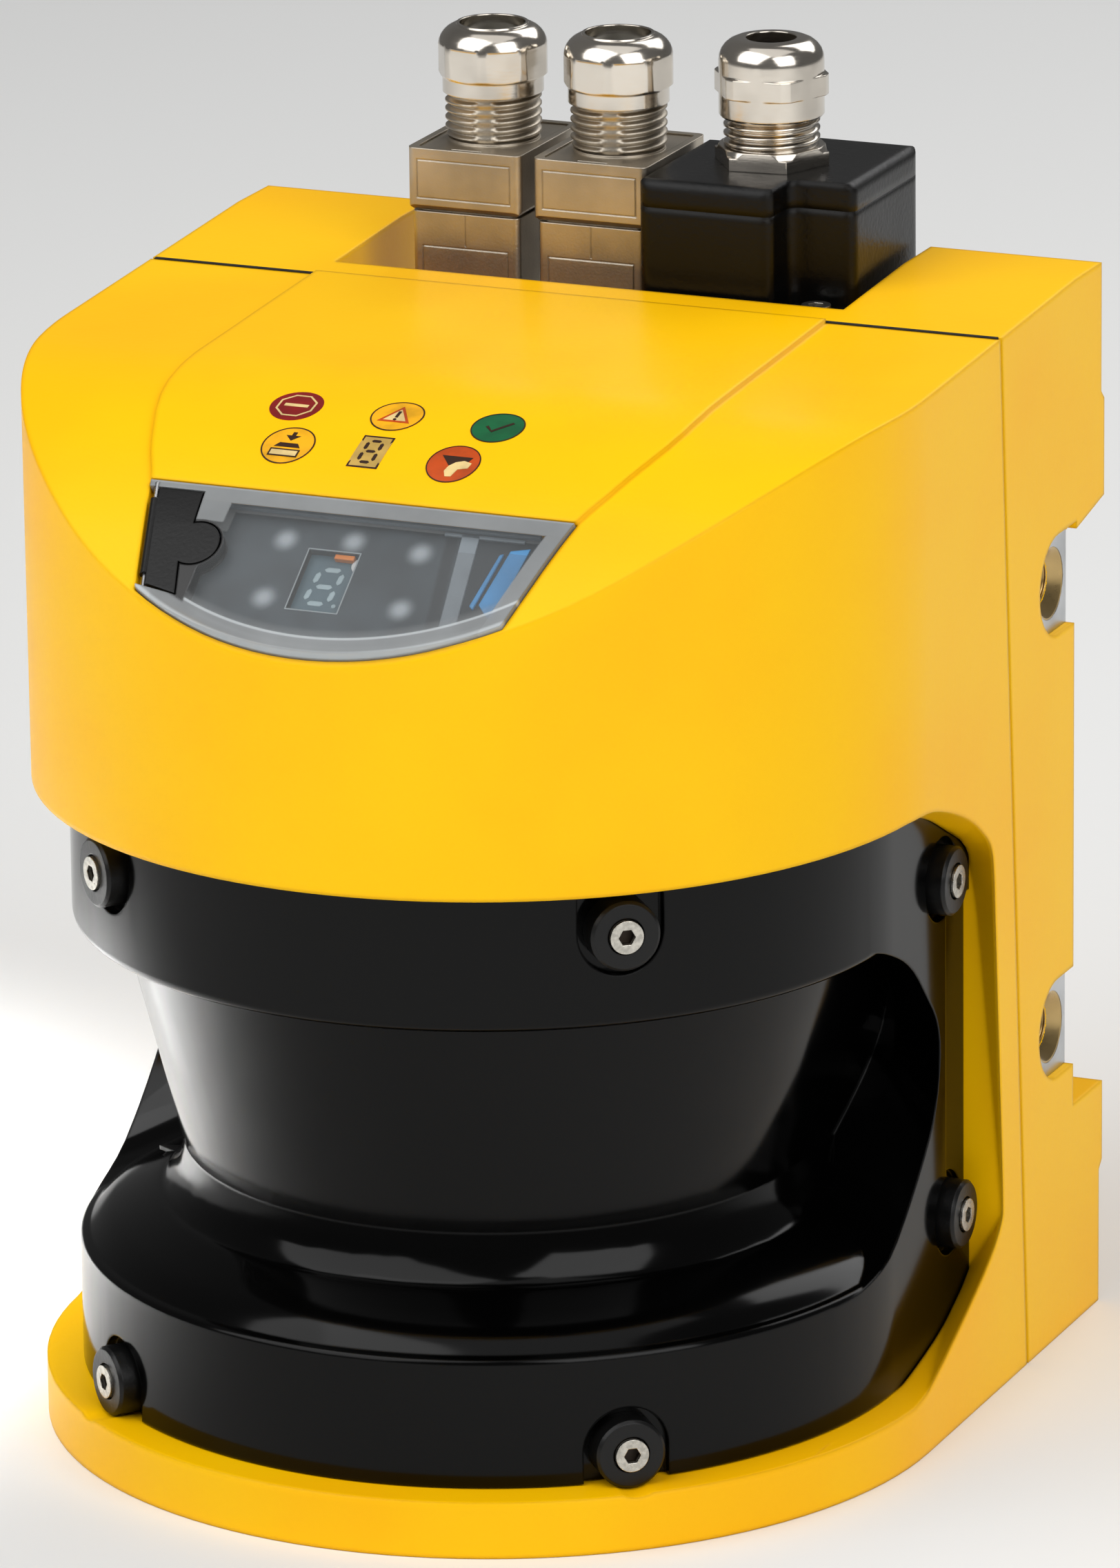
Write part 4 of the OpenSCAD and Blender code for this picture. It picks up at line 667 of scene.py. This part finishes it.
def makeLensPlastic(look):  # clear in the middle, milky where it sits on its rim
    s = Shader("displayLens")
    u, v = visorPlace(s)
    side, fromTop = lensSide(v) - abs(u), lensForm["top"] - v
    foot = lensForm["arcR"] - (u ** 2 + (v - lensForm["arcV"]) ** 2) ** 0.5
    rim = side.ramp(*look["sideRim"], 0.92, 0.0).most(fromTop.ramp(*look["topRim"], 0.94, 0.0))
    rim = rim.most(foot.ramp(*look["footRim"], 0.82, 0.0))
    rim = rim.most(foot.ramp(*look["footFade"], 0.4, 0.0))
    thumb = ((u - look["thumb"][0]) ** 2 + (v - look["thumb"][1]) ** 2) ** 0.5
    bracket = u.ramp(*look["bracketU"], 0.9, 0.0) * v.ramp(*look["bracketV"])
    corner = u.ramp(*look["cornerU"], 1.0, 0.0) * v.ramp(*look["cornerV"], 1.0, 0.0)
    shade = thumb.ramp(*look["thumbR"], 1.0, 0.0).most(corner * foot.ramp(*look["cornerFoot"]))
    # painted highlights: bright lines along the inner edge of the foot rim, along the foot edge
    # and along the top edge
    lines = foot.ramp(*look["footHighlightIn"]) * foot.ramp(*look["footHighlightOut"], 1.0, 0.0)
    lines = lines.most(foot.ramp(*look["edgeHighlight"], 0.8, 0.0))
    lines = lines.most(fromTop.ramp(*look["topHighlight"], 0.5, 0.0))
    haze = s.noise(60.0, 4.0)
    dull = [c * 0.9 for c in look["milk"]]
    milk = s.blend(haze.ramp(0.3, 0.7), rgb(*look["milk"]), rgb(*dull))
    # the painted highlights whiten the milk and make the lens opaque there
    milkWithHighlights = s.blend(lines * 0.7, milk, rgb(*look["line"]))
    alpha = rim.most(bracket).most(shade).most(lines * 0.75).most(haze * 0.1 + 0.12)
    return s.finish(s.principled(
        colour=s.blend(shade, milkWithHighlights, rgb(*look["recess"])), Alpha=alpha,
        Roughness=haze * 0.1 + 0.14, level=0.5, Normal=s.softEdge(0.0004)))


def grown(box, margin):  # a bar with a margin round it
    u0, v0, u1, v1 = box
    return bar(u0 - margin, v0 - margin, u1 + margin, v1 + margin)


def makeDisplay(look):
    top, low, box, face = look["plateTop"], look["plateLow"], look["well"], look["faceH"]
    well = cutterFrom("displayWellCut", slab(onVisor, bar(*box), low - 1, top + 1))
    slate = newPiece("displayPlate", *plate(displayOutline(look), onVisor, top, low, 60.0),
                     material=makeSlate(look), slotName="dark_plastic", smooth=False)
    cut = slate.modifiers.new("well", "BOOLEAN")
    cut.operation, cut.object, cut.solver = "DIFFERENCE", well, "EXACT"
    walls = hoop(grown(box, look["wall"]), bar(*box), onVisor, top - 0.1, look["wallLow"])
    newPiece("displayWell", *walls, material=darkPlastic, slotName="dark_plastic", smooth=False)
    rim = hoop(grown(box, look["rim"]), bar(*box), onVisor, top + 0.06, top - 0.3)
    newPiece("displayWellRim", *rim, material=makePlastic("wellRim", look["rimColour"], 0.35),
             slotName="clear_plastic", smooth=False)
    field = slab(onVisor, grown(box, look["fieldOver"]), face - 0.3, face)
    newPiece("digitField", *field, material=makePlastic("digitField", look["field"], 0.3),
             slotName="dark_plastic", smooth=False)
    du, dv = look["digitAt"]
    shapes = sevenSegments(*look["digitSize"]) + [circle(*look["pointAt"], look["pointR"], 16)]
    digit = [slab(onVisor, [(u + du, v + dv) for u, v in shape], face - 0.1, face + 0.05)
             for shape in shapes]
    newPiece("digitBars", *gather(digit), material=makePlastic("digitBars", look["segment"], 0.35),
             slotName="lamp_plastic", smooth=False)
    tab = slab(onVisor, bar(*look["tab"]), face - 0.1, face + look["tabH"])
    newPiece("digitTab", *tab, material=makePlastic("amberTab", look["tabColour"], 0.35),
             slotName="lamp_plastic", smooth=False)
    ribs = [slab(onVisor, shape, look["ribLow"], look["ribH"]) for shape in look["ribs"]]
    ribs.append(slab(onVisor, look["topRib"], look["ribLow"], look["topRibH"]))
    newPiece("displayRibs", *gather(ribs),
             material=makePlastic("displayRibs", look["ribColour"], 0.4),
             slotName="dark_plastic", smooth=False)
    strips = [slab(onVisor, shape, look["ribLow"], look["stripH"]) for shape in look["strips"]]
    newPiece("displayStrip", *gather(strips), material=makePlastic("blueStrip", look["blue"], 0.3),
             slotName="lamp_plastic", smooth=False)


makeDisplay(displayLook)
finishNode("display_lens", makeLensPlastic(lensLook))
print("display made")

# threads and grooves of the plugs
plugLook = {"leftX": -26.0, "middleX": -2.8, "y": 62.0, "sleeveTop": 203.7, "sleeveLow": 192.9,
            "halfWide": 10.45, "halfDeep": 13.3, "neckLow": 203.9, "neckHigh": 211.5,
            "crest": 8.25, "root": 7.35, "pitch": 1.5, "flat": 0.16, "groove": 0.22,
            "grooveDepth": 0.14, "bodyStep": 0.6, "panelIn": 2.6, "panelZ": (170.0, 186.6),
            "panelDepth": 0.12, "lineHalf": 0.09, "lineZ": (187.0, 192.4), "sleeveIn": 1.9,
            "sleeveFoot": 2.2, "sleeveHead": 2.0, "notchX": (-2.6, 3.0), "slitY": 4.4,
            "slitStep": 2.4, "slitWide": 0.9, "slitDepth": 0.35, "slitZ": (6.4, 1.6)}
glandLook = {"x": 25.2, "y": 62.0, "low": 206.4, "high": 211.5, "crest": 8.2, "root": 7.3,
             "pitch": 1.5, "core": 7.1, "cutLow": 206.7, "cutHigh": 211.45}
neckCutR = 12.0


def toothAt(turn):  # height of a thread's tooth, 0 to 1, at a place in its pitch
    return min(1.0, max(0.0, (1 - abs(2 * (turn % 1.0) - 1)) * 1.5 - 0.2))


def threadRing(at, low, high, look, flat=0.0):
    # a band of screw thread about a vertical axis, with two mould flats where flat is not 0
    turns, step, runOut = 96, 0.1, 0.5
    count = int(round((high - low) / step))
    inner = look["root"] - 0.7
    sections = []
    for k in range(turns):
        angle = 2 * math.pi * k / turns
        level = 1.0
        if flat:
            away = abs(math.remainder(angle - math.radians(-78), math.pi))
            level = min(1.0, max(0.12, (away - flat) / 0.1))
        section = []
        for i in range(count + 1):
            z = low + (high - low) * i / count
            tooth = toothAt(z / look["pitch"] - k / turns)
            tooth *= level * min(1.0, (z - low) / runOut, (high - z) / runOut)
            section.append((look["root"] + (look["crest"] - look["root"]) * tooth, z))
        section += [(inner, high), (inner, low)]
        sections.append([toRow((at[0] + r * math.cos(angle), at[1] + r * math.sin(angle), z))
                         for r, z in section])
    return ringRound(sections)


def neckCut(name, at, core, low, high):  # takes the plain neck away where a thread stands
    section = [(core, low), (neckCutR, low), (neckCutR, high), (core, high)]
    return cutterFrom(name, turned(section, at))


def frameGroove(x, z, y, half, depth):  # a groove along a rectangle on a face that looks forward
    box = (x[0], z[0], x[1], z[1])
    return hoop(grown(box, half), grown(box, -half), lambda a, b, h: toRow((a, y - h, b)), 0.5,
                -depth)


def makePlugDetails(side, x, look):
    y, half, wide = look["y"], look["groove"] / 2, look["halfWide"]
    ring = threadRing((x, y), look["neckLow"], look["neckHigh"], look, look["flat"])
    newPiece(side + "PlugThread", *ring, material=castMetal, slotName="zinc_casting")
    trim = neckCut(side + "NeckCut", (x, y), look["root"] - 0.2, look["neckLow"] - 0.1,
                   look["neckHigh"] + 0.1)
    front = y - look["halfDeep"]
    face, inset, line = front + look["bodyStep"], look["panelIn"], look["lineHalf"]
    marks = cutterFrom(side + "BodyMarks", gather([
        frameGroove((x - wide + inset, x + wide - inset), look["panelZ"], face, half,
                    look["panelDepth"]),
        block((x - line, x + line), (face - 0.5, face + 0.1), look["lineZ"])]))
    finishNode(side + "_plug_body", castMetal, [trim, marks])
    low, high, inset = look["sleeveLow"], look["sleeveTop"], look["sleeveIn"]
    shapes = [
        frameGroove((x - wide + inset, x + wide - inset),
                    (low + look["sleeveFoot"], high - look["sleeveHead"]), front, half,
                    look["grooveDepth"]),
        block([x + u for u in look["notchX"]], (front + 0.5, front + 1.3), (high - 1.2, high + 1))]
    for k in range(3):
        slit = y + look["slitY"] + look["slitStep"] * k
        shapes.append(block((x + wide - look["slitDepth"], x + wide + 1),
                            (slit, slit + look["slitWide"]), [high - h for h in look["slitZ"]]))
    sleeveMarks = cutterFrom(side + "SleeveMarks", gather(shapes), body=side + "_sleeve")
    finishNode(side + "_plug_sleeve", castMetal, [sleeveMarks])


def makeGlandThread(look):
    at = (look["x"], look["y"])
    newPiece("glandThread", *threadRing(at, look["low"], look["high"], look), material=nickel,
             slotName="nickel")
    finishNode("gland_body", nickel, [neckCut("glandNeckCut", at, look["core"], look["cutLow"],
                                              look["cutHigh"])])


for side in ("left", "middle"):
    makePlugDetails(side, plugLook[side + "X"], plugLook)
makeGlandThread(glandLook)
print("plug details made")

# machined seats and threads of the side holes
seatLook = {"x": 75.9, "y": 60.6, "heights": (56.1, 134.9), "padR": 8.75, "mouthR": 6.25,
            "threadR": 4.0, "tooth": 0.6, "depth": 8.8, "pitch": 1.25, "back": 68.1}


def seatRing(look, z, hand):  # the machined face: a half round pad that runs to the rear
    y, r, reach = look["y"], look["padR"], look["back"] - look["y"]
    outer = [(y + r * math.cos(t), z + r * math.sin(t))
             for t in (math.pi / 2 + math.pi * k / 36 for k in range(37))]
    outer += [(y + reach * k / 8, z - r) for k in range(1, 9)]
    outer += [(y + reach, z - r + 2 * r * k / 8) for k in range(1, 9)]
    outer += [(y + reach - reach * k / 8, z + r) for k in range(1, 8)]
    turns = [math.atan2(b - z, a - y) for a, b in outer]
    inner = [(y + look["mouthR"] * math.cos(t), z + look["mouthR"] * math.sin(t)) for t in turns]
    return hoop(outer, inner, lambda a, b, h: toRow((hand * (look["x"] + h), a, b)), 0.06, -0.4)


def threadLining(look, z, hand, turns=72, count=66):  # countersink and thread of one hole
    mouth, bore, depth = look["mouthR"], look["threadR"], look["depth"]
    sections = []
    for k in range(turns):
        angle = 2 * math.pi * k / turns
        section = [(mouth + 0.02, 0.04), (mouth - 0.4, -0.1), (bore + 0.05, -2.2)]
        for i in range(count + 1):
            h = -2.25 - (depth - 2.35) * i / count
            tooth = toothAt(h / look["pitch"] - hand * k / turns)
            section.append((bore - 0.02 - look["tooth"] * tooth, h))
        section += [(bore + 0.5, -depth), (mouth + 0.4, -0.5)]
        sections.append([toRow((hand * (look["x"] + h), look["y"] + r * math.cos(angle),
                                z + r * math.sin(angle))) for r, h in section])
    return ringRound(sections)


def makeSideSeats(look):
    holes = [(look, z, hand) for hand in (1, -1) for z in look["heights"]]
    newPiece("sideSeats", *gather([seatRing(*hole) for hole in holes]), material=bareAlloy,
             slotName="bare_alloy", smooth=False)
    newPiece("sideThreads", *gather([threadLining(*hole) for hole in holes]),
             material=brassThread, slotName="bare_alloy")


makeSideSeats(seatLook)
print("side seats made")

# small moulded marks of the optics cover
markLook = {"band": (71.3, 111.6), "outerR": 1.9, "innerR": 1.25, "ledgeLow": 38.8,
            "ledgeHigh": 39.55, "arrow": [(-60.4, -7.4), (-55.6, -9.8), (-55.4, -5.6)]}


def makeMarks(look):
    radius, middle = look["band"]

    def onBand(u, v, h):
        return toRow(((radius + h) * math.sin(u / radius), -(radius + h) * math.cos(u / radius),
                      middle + v))
    outlines = [circle(0, 0, look[r], 3, math.pi / 2) for r in ("outerR", "innerR")]
    newPiece("coverMark", *hoop(*outlines, onBand, 0.12, -0.2), material=blackPlastic,
             slotName="black_plastic", smooth=False)
    newPiece("scanLineMark", *slab(onFlat, look["arrow"], look["ledgeLow"], look["ledgeHigh"]),
             material=blackPlastic, slotName="black_plastic", smooth=False)


makeMarks(markLook)
print("cover marks made")

room = {"floorSize": 14.0, "floorColour": (236, 236, 235), "floorZ": -0.0001,
        "world": (1.0, 1.0, 1.0), "worldStrength": 0.14}


def makeFloor(look):
    s = Shader("paleFloor")
    tone = s.noise(1.5, 2.0)
    dull = [c - 3 for c in look["floorColour"]]
    material = s.finish(s.principled(
        colour=s.blend(tone, rgb(*look["floorColour"]), rgb(*dull)), Roughness=tone * 0.1 + 0.7,
        level=0.2))
    half = look["floorSize"] / 2
    mesh = bpy.data.meshes.new("floor")
    mesh.from_pydata([(u, v, look["floorZ"]) for u, v in bar(-half, -half, half, half)], [],
                     [(0, 1, 2, 3)])
    mesh.materials.append(material)
    floor = bpy.data.objects.new("floor", mesh)
    bpy.context.scene.collection.objects.link(floor)


def makeWorld(look):
    world = bpy.data.worlds.new("studio")
    world.use_nodes = True
    background = world.node_tree.nodes["Background"]
    background.inputs["Color"].default_value = (*look["world"], 1.0)
    background.inputs["Strength"].default_value = look["worldStrength"]
    bpy.context.scene.world = world


def towards(azimuth, elevation):  # the direction from the part to a lamp or the camera
    a, e = math.radians(azimuth), math.radians(elevation)
    return Vector((math.sin(a) * math.cos(e), -math.cos(a) * math.cos(e), math.sin(e)))


def makeLight(name, power, size, azimuth, elevation, distance, aim=(0, 0, 0.1), spread=180):
    lamp = bpy.data.lights.new(name, "AREA")
    lamp.shape, lamp.size, lamp.size_y = "RECTANGLE", size[0], size[1]
    lamp.energy, lamp.spread = power, math.radians(spread)
    back = towards(azimuth, elevation)
    made = bpy.data.objects.new(name, lamp)
    made.location = Vector(aim) + back * distance
    made.rotation_mode = "QUATERNION"
    made.rotation_quaternion = (-back).to_track_quat("-Z", "Y")
    bpy.context.scene.collection.objects.link(made)


lights = {
    "key": {"power": 21, "size": (1.7, 1.7), "azimuth": -34, "elevation": 46, "distance": 1.7},
    "front": {"power": 20, "size": (1.3, 1.6), "azimuth": 58, "elevation": 34, "distance": 1.9},
    "top": {"power": 5, "size": (1.6, 1.3), "azimuth": 0, "elevation": 86, "distance": 1.6},
    "rear": {"power": 10, "size": (1.2, 0.9), "azimuth": 165, "elevation": 40, "distance": 1.8},
    "left": {"power": 0.65, "size": (0.1, 0.1), "azimuth": -90, "elevation": 90, "distance": 0.42,
             "aim": (-0.225, 0.0, 0.0), "spread": 40},
}
camera = {"aim": (0.016162, -0.012856, 0.113222), "azimuth": 23.4367, "elevation": 17.0314,
          "roll": -0.7027, "distance": 1.75995, "lens": 244.05}


def makeCamera(look):
    data = bpy.data.cameras.new("camera")
    data.lens, data.sensor_width, data.sensor_fit = look["lens"], 36.0, "AUTO"
    data.clip_start, data.clip_end = 0.05, 50.0
    back = towards(look["azimuth"], look["elevation"])
    made = bpy.data.objects.new("camera", data)
    made.location = Vector(look["aim"]) + back * look["distance"]
    made.rotation_mode = "QUATERNION"
    turn = (-back).to_track_quat("-Z", "Y").to_matrix().to_4x4()
    turn = turn @ Matrix.Rotation(math.radians(look["roll"]), 4, "Z")
    made.rotation_quaternion = turn.to_quaternion()
    bpy.context.scene.collection.objects.link(made)
    bpy.context.scene.camera = made


makeFloor(room)
makeWorld(room)
for name, values in lights.items():
    makeLight(name, **values)
makeCamera(camera)
bpy.context.scene.view_settings.view_transform = "Standard"
bpy.context.scene.view_settings.look = "None"
print("studio ready")
